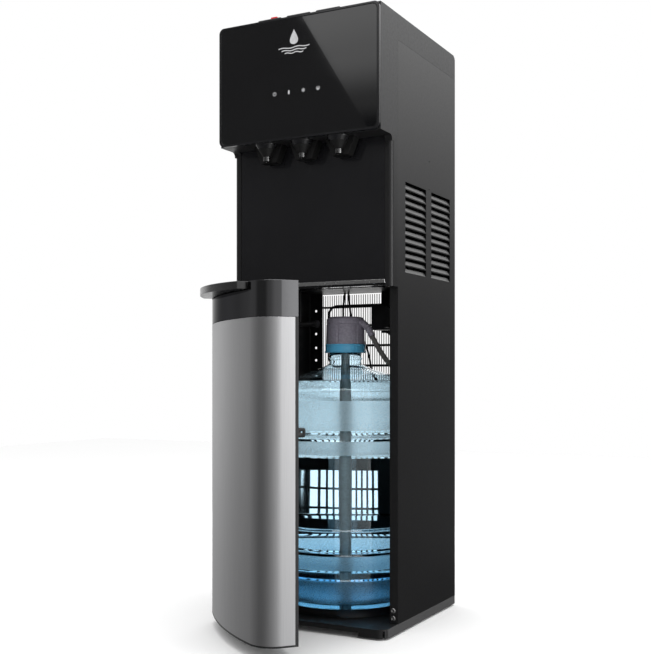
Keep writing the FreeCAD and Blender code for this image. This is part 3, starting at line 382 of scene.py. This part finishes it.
def polished_plastic(name, colour, roughness=0.1):
    """Polished moulded plastic with slow sink marks and fine wiping haze."""
    finish = Finish(name, colour, roughness, Coat_Weight=0.3, Coat_Roughness=0.04)
    finish.bump(finish.noise(0.05, 1), 0.00004)
    finish.roughness(finish.noise(0.012, 6, (1, 1, 4)), roughness - 0.03, roughness + 0.06)
    return finish.tint(finish.noise(0.1), [channel * 1.2 for channel in colour])


def brushed_metal(name, colour, roughness, along=(1, 1, 60)):
    """Brushed sheet: streaks in the depth, the gloss and the tone, along one axis."""
    finish = Finish(name, colour, roughness, Metallic=1.0)
    streaks = finish.noise(0.0005, 4, along)
    finish.bump(streaks, 0.0000008)
    finish.roughness(streaks, roughness - 0.04, roughness + 0.04)
    return finish.tint(finish.noise(0.0012, 3, along), [channel * 0.95 for channel in colour])


def bright_metal(name, colour, roughness):
    finish = Finish(name, colour, roughness, Metallic=1.0)
    finish.bump(finish.noise(0.004, 4), 0.00001)
    return finish.roughness(finish.noise(0.003, 5), roughness - 0.05, roughness + 0.1)


def black_chrome():
    """Smoked chrome on plastic: a dark mirror that stays dark at a glancing view."""
    finish = Finish("black_chrome", (0.15, 0.15, 0.155), 0.06, Metallic=1.0,
                    Specular_Tint=(0.25, 0.25, 0.25, 1))
    finish.bump(finish.noise(0.03, 2), 0.00001)
    return finish.roughness(finish.noise(0.006, 5), 0.03, 0.1)


def glass_front():
    """Black-backed glass: no texture of its own but polish and a trace of wiping."""
    finish = Finish("black_glass", (0.003, 0.003, 0.0035), 0.04, IOR=1.5, Coat_Weight=1.0,
                    Coat_Roughness=0.01)
    finish.roughness(finish.noise(0.04, 6, (3, 1, 1)), 0.03, 0.07)
    return finish.tint(finish.noise(0.2), (0.004, 0.004, 0.0045))


def clear_bottle(name, roughness, grain=0):
    """Blue polycarbonate, tinted a deeper, darker blue towards the bottom as painted shade; grain frosts it.
    """
    finish = Finish(name, (0.36, 0.68, 0.9), roughness, Transmission_Weight=1.0, IOR=1.45)
    # painted shade: a darker, deeper blue low on the bottle, fading out with height
    finish.tint(finish.coordinate(2), (0.78, 0.905, 0.965), BOTTLE_SHADE_TOP / 4, BOTTLE_SHADE_TOP)
    if grain:
        finish.bump(finish.cells(0.0014), grain)
        finish.bump(finish.noise(0.0007), grain / 2)
        finish.roughness(finish.noise(0.0011, 2), 0.12, 0.42)
    return finish


def water_body():
    finish = Finish("water", (0.9, 0.97, 1.0), 0.0, Transmission_Weight=1.0, IOR=1.33)
    return finish.bump(finish.noise(0.09, 1), 0.0001)


def rubber(name, colour, roughness=0.6):
    finish = Finish(name, colour, roughness, Specular_IOR_Level=0.35)
    finish.bump(finish.noise(0.0009, 4), 0.00003)
    finish.roughness(finish.noise(0.01), roughness - 0.08, roughness + 0.1)
    return finish.tint(finish.noise(0.02), [channel * 1.4 for channel in colour])


def circuit_board():
    finish = Finish("board", (0.01, 0.08, 0.03), 0.3)
    finish.tint(finish.noise(0.002, 2, (4, 1, 1)), (0.03, 0.16, 0.06), 0.5, 0.52)
    return finish.bump(finish.noise(0.002, 2, (4, 1, 1)), 0.00003)


def foam():
    finish = Finish("foam", (0.82, 0.8, 0.72), 0.9)
    finish.bump(finish.cells(0.003), 0.0004)
    return finish.tint(finish.cells(0.003), (0.7, 0.67, 0.58))


FINISHES = {
    "painted_black": powder_coat("painted_black", (0.01, 0.01, 0.0105), 0.34),
    "satin_black": moulded_plastic("satin_black", (0.014, 0.014, 0.015), 0.4),
    "gloss_black": polished_plastic("gloss_black", (0.007, 0.007, 0.008), 0.16),
    "black_glass": glass_front(),
    "brushed_steel": brushed_metal("brushed_steel", (0.64, 0.64, 0.65), 0.42),
    "bright_trim": bright_metal("bright_trim", (0.8, 0.8, 0.8), 0.18),
    "clear_lens": polished_plastic("smoked_lens", (0.012, 0.012, 0.013), 0.12),
    "tank_steel": brushed_metal("tank_steel", (0.6, 0.59, 0.57), 0.35, (60, 60, 1)),
    "copper": bright_metal("copper", (0.75, 0.36, 0.2), 0.3),
    "foam": foam(),
    "board": circuit_board(),
    "compressor_black": powder_coat("compressor_black", (0.012, 0.012, 0.012), 0.3),
    "condenser_black": powder_coat("condenser_black", (0.015, 0.015, 0.015), 0.4),
    "rubber": rubber("rubber", (0.02, 0.02, 0.02)),
    "silicone": rubber("silicone", (0.7, 0.7, 0.66), 0.4),
    "bottle_blue": clear_bottle("bottle_clear", 0.02),
    "water": water_body(),
    "collar_blue": polished_plastic("collar_blue", (0.12, 0.5, 0.8), 0.25),
    "cap_mauve": moulded_plastic("cap_mauve", (0.3, 0.28, 0.34), 0.4),
    "pipe_grey": moulded_plastic("pipe_grey", (0.44, 0.5, 0.5), 0.35),
    "hose_grey": rubber("hose_grey", (0.12, 0.115, 0.11), 0.45),
    "cable_black": rubber("cable_black", (0.01, 0.01, 0.01), 0.5),
    "lock_red": polished_plastic("lock_red", (0.6, 0.015, 0.02), 0.2),
    "rocker": moulded_plastic("rocker", (0.02, 0.02, 0.02), 0.3),
    "zinc": bright_metal("zinc", (0.55, 0.55, 0.56), 0.32),
}
FROSTED = clear_bottle("bottle_frosted", 0.25, 0.00012)
PRINT = moulded_plastic("printed_mark", (0.42, 0.42, 0.43), 0.4)
SPOUT_BODY = moulded_plastic("spout_body", (0.004, 0.004, 0.004), 0.55)
SCREW = bright_metal("screw_head", (0.5, 0.5, 0.5), 0.25)
# nodes whose finish differs from the rest of their slot
NODE_FINISHES = {
    "door_cap": black_chrome(),
    "alcove_columns": moulded_plastic("column_satin", (0.008, 0.008, 0.0085), 0.34),
    "drip_tray": polished_plastic("tray_gloss", (0.006, 0.006, 0.006), 0.2),
    "nozzle_rings": bright_metal("nozzle_metal", (0.2, 0.2, 0.2), 0.22),
    "base_plinth": plinth_coat_painted_side_light(),
    "spout_hot": SPOUT_BODY,
    "spout_cold": SPOUT_BODY,
    "spout_room": SPOUT_BODY,
}


def paint(piece, finish):
    """Show finish on every part of the piece."""
    if not piece.data.materials:
        piece.data.materials.append(finish.material)
    for place in piece.material_slots:
        place.link = "OBJECT"
        place.material = finish.material


# ---------------------------------------------------------------- the frame's own nodes
NO_BEVEL = {"condenser_wires", "condenser_tube", "evaporator_coil", "tank_foam", "water_lines"}
# edge rounding in millimetres, for the nodes that don't take USUAL_BEVEL
BEVEL = {"glass_panel": 0.5, "head_bezel": 0.8, "head_shell": 1.2, "top_cover": 1.0, "door_cap": 0.8,
         "drip_tray": 0.6, "door_skin": 0.3, "base_plinth": 1.2, "alcove_sill": 0.8, "side_panel_right": 0.3,
         "side_panel_left": 0.3}
USUAL_BEVEL = 0.4
WELD_REACH = 0.01       # millimetres
FLAT_ANGLE = 1          # degrees up to which neighbouring facets merge
SHARP_ANGLE = 40        # degrees from which an edge is rounded


def soften(piece, width):
    """Weld the node's facets together and round its sharp edges."""
    weld = piece.modifiers.new("weld", "WELD")
    weld.merge_threshold = WELD_REACH * MM
    flat = piece.modifiers.new("flat", "DECIMATE")
    flat.decimate_type = "DISSOLVE"
    flat.angle_limit = math.radians(FLAT_ANGLE)
    edge = piece.modifiers.new("edge", "BEVEL")
    edge.width = width
    edge.segments = 2
    edge.limit_method = "ANGLE"
    edge.angle_limit = math.radians(SHARP_ANGLE)
    edge.harden_normals = True
    edge.use_clamp_overlap = True


def finish_nodes():
    slots = {part["node"]: part["material_slot"] for part in frame["record"]["subparts"]}
    for name, piece in frame["nodes"].items():
        paint(piece, NODE_FINISHES.get(name, FINISHES[slots[name]]))
        mesh = piece.data
        if "custom_normal" in mesh.attributes:
            mesh.attributes.remove(mesh.attributes["custom_normal"])
        mesh.shade_smooth()
        if name not in NO_BEVEL:
            soften(piece, BEVEL.get(name, USUAL_BEVEL) * MM)


finish_nodes()
for cord_piece, cord in zip(cords, CORDS):
    paint(cord_piece, FINISHES[cord[2]])


# ---------------------------------------------------------------- mesh helpers
def piece_from(name, work, body, slot, nodes=(), finish=None):
    """Turn a finished bmesh into a piece that rides on body and stands for nodes."""
    bmesh.ops.recalc_face_normals(work, faces=work.faces)
    mesh = bpy.data.meshes.new(name)
    work.to_mesh(mesh)
    work.free()
    mesh.shade_smooth()
    piece = bpy.data.objects.new(name, mesh)
    scene.collection.objects.link(piece)
    paint(piece, finish or FINISHES[slot])
    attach(piece, body)
    if nodes:
        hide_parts(*nodes)
    return piece


def filleted(points, radii, steps=5):
    """An open line through points, in any plane, with each inner corner rounded to its radius."""
    line = [Vector(points[0])]
    for before, corner, after, radius in zip(points, points[1:], points[2:], radii):
        corner = Vector(corner)
        arrive = Vector(before) - corner
        leave = Vector(after) - corner
        half = arrive.angle(leave) / 2
        trim = min(radius / math.tan(half), 0.48 * arrive.length, 0.48 * leave.length)
        first = corner + arrive.normalized() * trim
        last = corner + leave.normalized() * trim
        for step in range(steps + 1):
            t = step / steps
            line.append(first.lerp(corner, t).lerp(corner.lerp(last, t), t))
    line.append(Vector(points[-1]))
    return line


def bridge(work, lower, upper):
    """Join two rings of vertices with quads; a ring of one vertex gives triangles."""
    count = max(len(lower), len(upper))
    for k in range(count):
        after = (k + 1) % count
        corners = [lower[k % len(lower)], lower[after % len(lower)],
                   upper[after % len(upper)], upper[k % len(upper)]]
        work.faces.new(list(dict.fromkeys(corners)))


def turned(line, centre, segments=96):
    """Turn a line of (radius, height) in metres about an upright axis through centre."""
    work = bmesh.new()
    rings = []
    for radius, height in line:
        if radius < 1e-6:
            rings.append([work.verts.new((centre[0], centre[1], height))])
            continue
        rings.append([work.verts.new((centre[0] + radius * math.cos(math.tau * k / segments),
                                      centre[1] + radius * math.sin(math.tau * k / segments), height))
                      for k in range(segments)])
    for lower, upper in zip(rings, rings[1:]):
        bridge(work, lower, upper)
    return work


def turned_outline(points, radii):
    """An outline for turned(), from (radius, height) corners and the corners' fillets in millimetres."""
    line = filleted([(radius, 0, height) for radius, height in points], [radius * MM for radius in radii])
    return [(point.x, point.z) for point in line]


# ---------------------------------------------------------------- bottle and water
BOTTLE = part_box("bottle")
AXIS = ((BOTTLE[0].x + BOTTLE[1].x) / 2, (BOTTLE[0].y + BOTTLE[1].y) / 2)
HOOP = (BOTTLE[1].x - BOTTLE[0].x) / 2
GROOVE = HOOP - 4 * MM
FLOOR = BOTTLE[0].z
MOUTH = BOTTLE[1].z
WALL = 1.2 * MM
NECK = 29.5 * MM
WATER_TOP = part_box("bottle_water")[1].z
# heights in millimetres
WAISTS = ((82, 101), (125, 136), (167, 298), (321, 340))
WAIST_SLOPE = 4
FROSTED_BANDS = ((44, 82), (101, 125), (298, 321), (340, 391))
FOOT_HEIGHT = 20


def bottle_wall(inset):
    """The bottle's outline from its foot to its mouth, inset metres inside the outer surface."""
    points = [(0, FLOOR + 8 * MM), (HOOP - 55 * MM, FLOOR + 8 * MM), (HOOP - 30 * MM, FLOOR),
              (HOOP - 14 * MM, FLOOR), (HOOP, FLOOR + 12 * MM)]
    radii = [20, 10, 8, 12]
    for low, high in WAISTS:
        points += [(HOOP, low * MM), (GROOVE, (low + WAIST_SLOPE) * MM), (GROOVE, (high - WAIST_SLOPE) * MM),
                   (HOOP, high * MM)]
        radii += [3, 3, 3, 3]
    points += [(HOOP, 391 * MM), (HOOP - 3 * MM, 409 * MM), (HOOP - 18 * MM, 424 * MM),
               (85 * MM, 436 * MM), (48 * MM, 447 * MM), (NECK, 456 * MM), (NECK, 463 * MM),
               (NECK + 1.6 * MM, 464.5 * MM), (NECK + 1.6 * MM, 466.5 * MM), (NECK, 468 * MM), (NECK, MOUTH)]
    radii += [6, 14, 18, 60, 30, 8, 1, 1, 1, 1]
    return [(max(radius - inset, 0), height + (inset if height < FLOOR + FOOT_HEIGHT * MM else 0))
            for radius, height in turned_outline(points, radii)]


def bottle_piece():
    outer = bottle_wall(0)
    inner = bottle_wall(WALL)
    work = turned(outer + inner[::-1], AXIS, 128)
    bmesh.ops.remove_doubles(work, verts=work.verts, dist=1e-6)
    for face in work.faces:
        height = face.calc_center_median().z / MM
        face.material_index = int(any(low < height < high for low, high in FROSTED_BANDS))
    piece = piece_from("water_bottle", work, "cabinet", "bottle_blue", ["bottle"])
    piece.data.materials.append(FROSTED.material)
    piece.material_slots[1].link = "OBJECT"
    piece.material_slots[1].material = FROSTED.material


def water_piece():
    """The water reaches just into the bottle's wall, so that no air shows between them."""
    wet = [point for point in bottle_wall(WALL - 0.3 * MM) if point[1] < WATER_TOP]
    flat = wet[-1][0] - 3 * MM
    meniscus = [(flat + 1.5 * MM, WATER_TOP + 1 * MM), (flat, WATER_TOP), (0, WATER_TOP)]
    piece_from("drinking_water", turned(wet + meniscus, AXIS, 128), "cabinet", "water", ["bottle_water"])


bottle_piece()
water_piece()


# ---------------------------------------------------------------- probe cap, collar and elbow
CAP_SLOTS = [-86.6 + 60 * number for number in range(6)]        # degrees
COLLAR_GRIPS = [-62 + 30 * number for number in range(12)]
ELBOW_ROUTE = ((30.5, -24, 531), (45, -27, 524), (58, -30, 506))
ELBOW_RIBS = 9


def dented(line, segments, dents, depth, low, high):
    """A piece turned round the bottle's axis, with narrow upright dents between two heights."""
    work = turned(line, AXIS, segments)
    half = math.pi / segments * 1.2
    for point in work.verts:
        angle = math.atan2(point.co.y - AXIS[1], point.co.x - AXIS[0])
        near = min(abs(math.remainder(angle - math.radians(dent), math.tau)) for dent in dents)
        if near < half and low < point.co.z < high:
            away = Vector((math.cos(angle), math.sin(angle), 0))
            point.co -= away * depth
    return work


def upright_span(box):
    """A box's lowest and highest z and half its width."""
    low, high = box
    return low.z, high.z, (high.x - low.x) / 2


def probe_cap_piece():
    """The cap with a rounded crown, a seam line and six slots in its skirt."""
    low, high, wide = upright_span(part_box("probe_cap"))
    seam = high - 13 * MM
    skirt = [(0, low), (wide - 0.4 * MM, low), (wide - 0.1 * MM, low + 0.8 * MM),
             (wide - 0.4 * MM, low + 19 * MM), (wide - 0.7 * MM, seam - 0.9 * MM)]
    groove = [(wide - 1.5 * MM, seam - 0.4 * MM), (wide - 1.5 * MM, seam + 0.4 * MM)]
    crown = [(wide - 0.8 * MM, seam + 0.9 * MM), (wide - 1.2 * MM, high - 4 * MM),
             (wide - 4.8 * MM, high - 0.4 * MM), (15 * MM, high - 0.4 * MM), (14 * MM, high), (0, high)]
    line = turned_outline(skirt + groove + crown, (0.5, 0.5, 3, 0.6, 0.4, 0.4, 0.6, 3.5, 3.5, 0.8, 0.8))
    work = dented(line, 168, CAP_SLOTS, 1.5 * MM, low + 0.5 * MM, low + 20 * MM)
    piece_from("probe_cap_moulding", work, "cabinet", "cap_mauve", ["probe_cap"])


def probe_collar_piece():
    """The blue collar, with a lip at its foot and ribs for grip round its side."""
    low, high, wide = upright_span(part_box("probe_collar"))
    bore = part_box("probe_pipe")[1].x - AXIS[0] + 0.3 * MM
    lip = [(bore, low), (wide - 1.2 * MM, low), (wide, low + 1 * MM), (wide, low + 3 * MM)]
    side = [(wide - 1.4 * MM, low + 4 * MM), (wide - 1.4 * MM, high - 4 * MM),
            (wide - 0.8 * MM, high - 3 * MM), (wide - 0.8 * MM, high - 0.8 * MM),
            (wide - 2 * MM, high), (bore, high)]
    line = turned_outline(lip + side, (0.6, 0.8, 0.8, 0.8, 0.6, 0.5, 0.8, 1.0))
    work = dented(line + line[:1], 144, COLLAR_GRIPS, 0.7 * MM, low + 4 * MM, high - 3 * MM)
    piece_from("probe_collar_moulding", work, "cabinet", "collar_blue", ["probe_collar"])


def probe_elbow_piece():
    """The ribbed sleeve where the hose leaves the cap."""
    start, middle, end = (Vector(place) * MM for place in ELBOW_ROUTE)
    control = middle * 2 - (start + end) / 2
    steps, sides = 45, 32
    work = bmesh.new()
    rings = []
    for step in range(steps + 1):
        t = step / steps
        place = start * (1 - t) ** 2 + control * 2 * t * (1 - t) + end * t ** 2
        along = ((control - start) * (1 - t) + (end - control) * t).normalized()
        side = along.cross(Vector((0, 1, 0))).normalized()
        other = along.cross(side)
        rib = 0.45 * MM * (1 + math.cos(math.tau * ELBOW_RIBS * t)) if t > 0.25 else 0.9 * MM
        radius = 6 * MM + min(rib, 0.9 * MM) - 0.6 * MM * t
        rings.append([work.verts.new(place + (side * math.cos(math.tau * k / sides)
                                              + other * math.sin(math.tau * k / sides)) * radius)
                      for k in range(sides)])
    for lower, upper in zip(rings, rings[1:]):
        bridge(work, lower, upper)
    work.faces.new(rings[0])
    work.faces.new(rings[-1])
    piece_from("probe_elbow_sleeve", work, "cabinet", "cap_mauve", ["probe_elbow"])


# ---------------------------------------------------------------- flat marks on the glass
MARK_DEPTH = 0.15 * MM
EMBLEM_X = -4 * MM
# the marks' distances below the glass panel's top edge
DROP_DOWN = 31 * MM
RIPPLES_DOWN = 48 * MM
SIGNS_DOWN = 123.5 * MM
RIPPLE_STEP = 4.5 * MM
RIPPLE_HALVES = (30 * MM, 24 * MM, 18 * MM)
RIPPLE_SWING = 0.9 * MM
RIPPLE_WIDTH = 1.7 * MM
SIGN_SIZE = 3.4 * MM
ENERGY_X, BOTTLE_X, COLD_X, HOT_X = (place * MM for place in (-42, -14, 14, 42))


def mark(name, outlines, plane_y):
    """Printed shapes on the glass, each a closed outline of (x, z) in metres that faces the user."""
    work = bmesh.new()
    for corners in outlines:
        front = [work.verts.new((x, plane_y, z)) for x, z in corners]
        back = [work.verts.new((x, plane_y + MARK_DEPTH, z)) for x, z in corners]
        work.faces.new(front)
        work.faces.new(back[::-1])
        bridge(work, front, back)
    piece_from(name, work, "cabinet", "bright_trim", finish=PRINT).data.shade_flat()


def arc_outlines(x, z, radius, width, start, sweep, count=48):
    """An arc, from start through sweep degrees, as short quads that meet end to end."""
    def at(turn, size):
        angle = math.radians(start + sweep * turn)
        return x + size * math.cos(angle), z + size * math.sin(angle)
    return [[at(k / count, radius), at((k + 1) / count, radius), at((k + 1) / count, radius - width),
             at(k / count, radius - width)] for k in range(count)]


def drop_outline(x, z, size, count=48):
    """A water drop whose round part is centred on x, z."""
    line = []
    for k in range(count):
        angle = math.tau * k / count
        pinch = 0.5 * (1 - math.cos(angle))
        line.append((x + size * math.sin(angle) * pinch ** 0.9 * 1.25, z + size * math.cos(angle) * 1.35))
    return line


def ripple_outline(z, half, steps=24):
    """Two waves across, of one width."""
    upper = [(EMBLEM_X + (2 * k / steps - 1) * half, z + RIPPLE_SWING * math.sin(math.tau * 2 * k / steps))
             for k in range(steps + 1)]
    return upper + [(x, height - RIPPLE_WIDTH) for x, height in reversed(upper)]


def flake_outlines(x, z):
    """Six arms from the middle outwards."""
    arms = []
    for number in range(6):
        angle = math.radians(60 * number + 30)
        reach = (math.cos(angle), math.sin(angle))
        across = (-reach[1] * 0.65 * MM, reach[0] * 0.65 * MM)
        arms.append([(x + reach[0] * length + across[0] * side, z + reach[1] * length + across[1] * side)
                     for length, side in ((0.5 * MM, 1), (SIGN_SIZE, 1), (SIGN_SIZE, -1), (0.5 * MM, -1))])
    return arms


def panel_marks():
    """A plain water drop over three ripples, and a row of four small signs under it."""
    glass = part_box("glass_panel")
    plane_y = glass[0].y - 0.1 * MM
    top = glass[1].z
    mark("emblem_drop", [drop_outline(EMBLEM_X, top - DROP_DOWN, 9.5 * MM)], plane_y)
    for number, half in enumerate(RIPPLE_HALVES):
        outline = ripple_outline(top - RIPPLES_DOWN - RIPPLE_STEP * number, half)
        mark(f"emblem_ripple_{number + 1}", [outline], plane_y)
    z = top - SIGNS_DOWN
    size = SIGN_SIZE
    bar = [(ENERGY_X + across * MM, z + up)
           for across, up in ((-0.5, 0), (0.5, 0), (0.5, size), (-0.5, size))]
    mark("sign_energy", arc_outlines(ENERGY_X, z, size, 0.9 * MM, 120, 300) + [bar], plane_y)
    bottle = [(BOTTLE_X + across * MM, z + up * size)
              for across, up in ((-1.6, -1), (1.6, -1), (1.6, 0.4), (0.8, 1), (-0.8, 1), (-1.6, 0.4))]
    mark("sign_bottle", [bottle], plane_y)
    mark("sign_cold", flake_outlines(COLD_X, z), plane_y)
    mark("sign_hot", [drop_outline(HOT_X, z, 1.7 * MM)] + arc_outlines(HOT_X, z, size, 0.8 * MM, 110, 320),
         plane_y)


# ---------------------------------------------------------------- door catch
DOOR_OPEN = -41.5       # degrees at rest; the catch is laid out on the shut door
# depths in millimetres: the plate's two faces along y, the lug's along x
PLATE_DEPTHS = (-135.1, -133.3)
LUG_DEPTHS = (134, 136.5)


def rounded_outline(across, up, half_wide, half_tall, power=0.4, count=32):
    """A rectangle with round corners, or an ellipse if power is 1, as (across, up) points."""
    line = []
    for k in range(count):
        cosine = math.cos(math.tau * k / count)
        sine = math.sin(math.tau * k / count)
        line.append((across + math.copysign(abs(cosine) ** power, cosine) * half_wide,
                     up + math.copysign(abs(sine) ** power, sine) * half_tall))
    return line


def door_catch_piece():
    """A bent catch at the door's free edge: a plate on the liner and a lug, each with a round hole."""
    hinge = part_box("door_hinge_pins")
    pivot = Vector(((hinge[0].x + hinge[1].x) / 2, (hinge[0].y + hinge[1].y) / 2, 0))
    opened = (Matrix.Translation(pivot) @ Matrix.Rotation(math.radians(DOOR_OPEN), 4, "Z")
              @ Matrix.Translation(-pivot))
    work = bmesh.new()

    def slab(outline, hole, depths, place):
        """A plate with a hole; place orders an across, an up and a depth as x, y and z."""
        outer, inner = [[[work.verts.new(opened @ (Vector(place(across, up, depth)) * MM))
                          for across, up in line] for depth in depths] for line in (outline, hole)]
        # the plate's two faces, its outer edge and the wall of its hole
        for lower, upper in (*zip(outer, inner), outer, inner):
            bridge(work, lower, upper)

    slab(rounded_outline(135, 345.5, 10, 7.5), rounded_outline(129, 345.5, 1.5, 1.5, 1), PLATE_DEPTHS,
         lambda across, up, depth: (across, depth, up))
    slab(rounded_outline(-125, 346, 9, 7.5), rounded_outline(-122, 347, 1.6, 1.6, 1), LUG_DEPTHS,
         lambda across, up, depth: (depth, across, up))
    piece_from("door_catch", work, "door", "satin_black")


# ---------------------------------------------------------------- spouts and screws
FRONT_SCREW_X = 145.7
FRONT_SCREW_HEIGHTS = (27, 40)
REAR_SCREW_X = 145.5
REAR_SCREW_HEIGHTS = (600, 730, 860, 980)
# a screw head from its rim to its recess: shares of its radius and of its height below the crown
HEAD_PROFILE = ((1, 1), (0.97, 0.45), (0.8, 0.1), (0.6, 0), (0.5, 0.05), (0.42, 0.6))
RECESS_DEPTH = 0.75


def spout_pieces():
    """Each spout: a glossy cone with a rolled rim, in front of a matt body that its node carries."""
    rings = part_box("nozzle_rings")
    foot = rings[1].z
    for name in ("hot", "cold", "room"):
        low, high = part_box(f"spout_{name}")
        centre = ((low.x + high.x) / 2, (rings[0].y + rings[1].y) / 2)
        points = [(4.4 * MM, foot), (7 * MM, foot), (7.4 * MM, foot + 1 * MM), (13 * MM, foot + 10 * MM),
                  (19.4 * MM, high.z - 1.6 * MM), (19.9 * MM, high.z - 0.2 * MM),
                  (4.4 * MM, high.z - 0.2 * MM), (4.4 * MM, foot)]
        line = turned_outline(points, (0.6, 1, 8, 1.2, 0.6, 0.1))
        piece_from(f"spout_cone_{name}", turned(line, centre, 72), "cabinet", "gloss_black")


def screw_head(work, x, y, z, outward, wide, tall, segments=32):
    """One head whose crown is at y and faces outward, -1 or 1, along y."""
    rings = [[work.verts.new((x + wide * share * math.cos(math.tau * k / segments),
                              y - outward * tall * depth,
                              z + wide * share * math.sin(math.tau * k / segments)))
              for k in range(segments)] for share, depth in HEAD_PROFILE]
    centre = work.verts.new((x, y - outward * tall * RECESS_DEPTH, z))
    for outer, inner in zip(rings, rings[1:] + [[centre]]):
        bridge(work, outer, inner)
    work.faces.new(rings[0])


def screw_pieces():
    """Pan heads with a recess, all of the frame's screws as one piece."""
    front, rear = (corner.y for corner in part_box("cabinet_screws"))
    work = bmesh.new()
    for side in (-MM, MM):
        for height in FRONT_SCREW_HEIGHTS:
            screw_head(work, side * FRONT_SCREW_X, front, height * MM, -1, 4.5 * MM, 1.5 * MM)
        for height in REAR_SCREW_HEIGHTS:
            screw_head(work, side * REAR_SCREW_X, rear, height * MM, 1, 4 * MM, 1.4 * MM)
    piece_from("screw_heads", work, "cabinet", "zinc", ["cabinet_screws"], SCREW)


probe_cap_piece()
probe_collar_piece()
probe_elbow_piece()
panel_marks()
door_catch_piece()
spout_pieces()
screw_pieces()


# ---------------------------------------------------------------- end
bpy.context.view_layer.update()
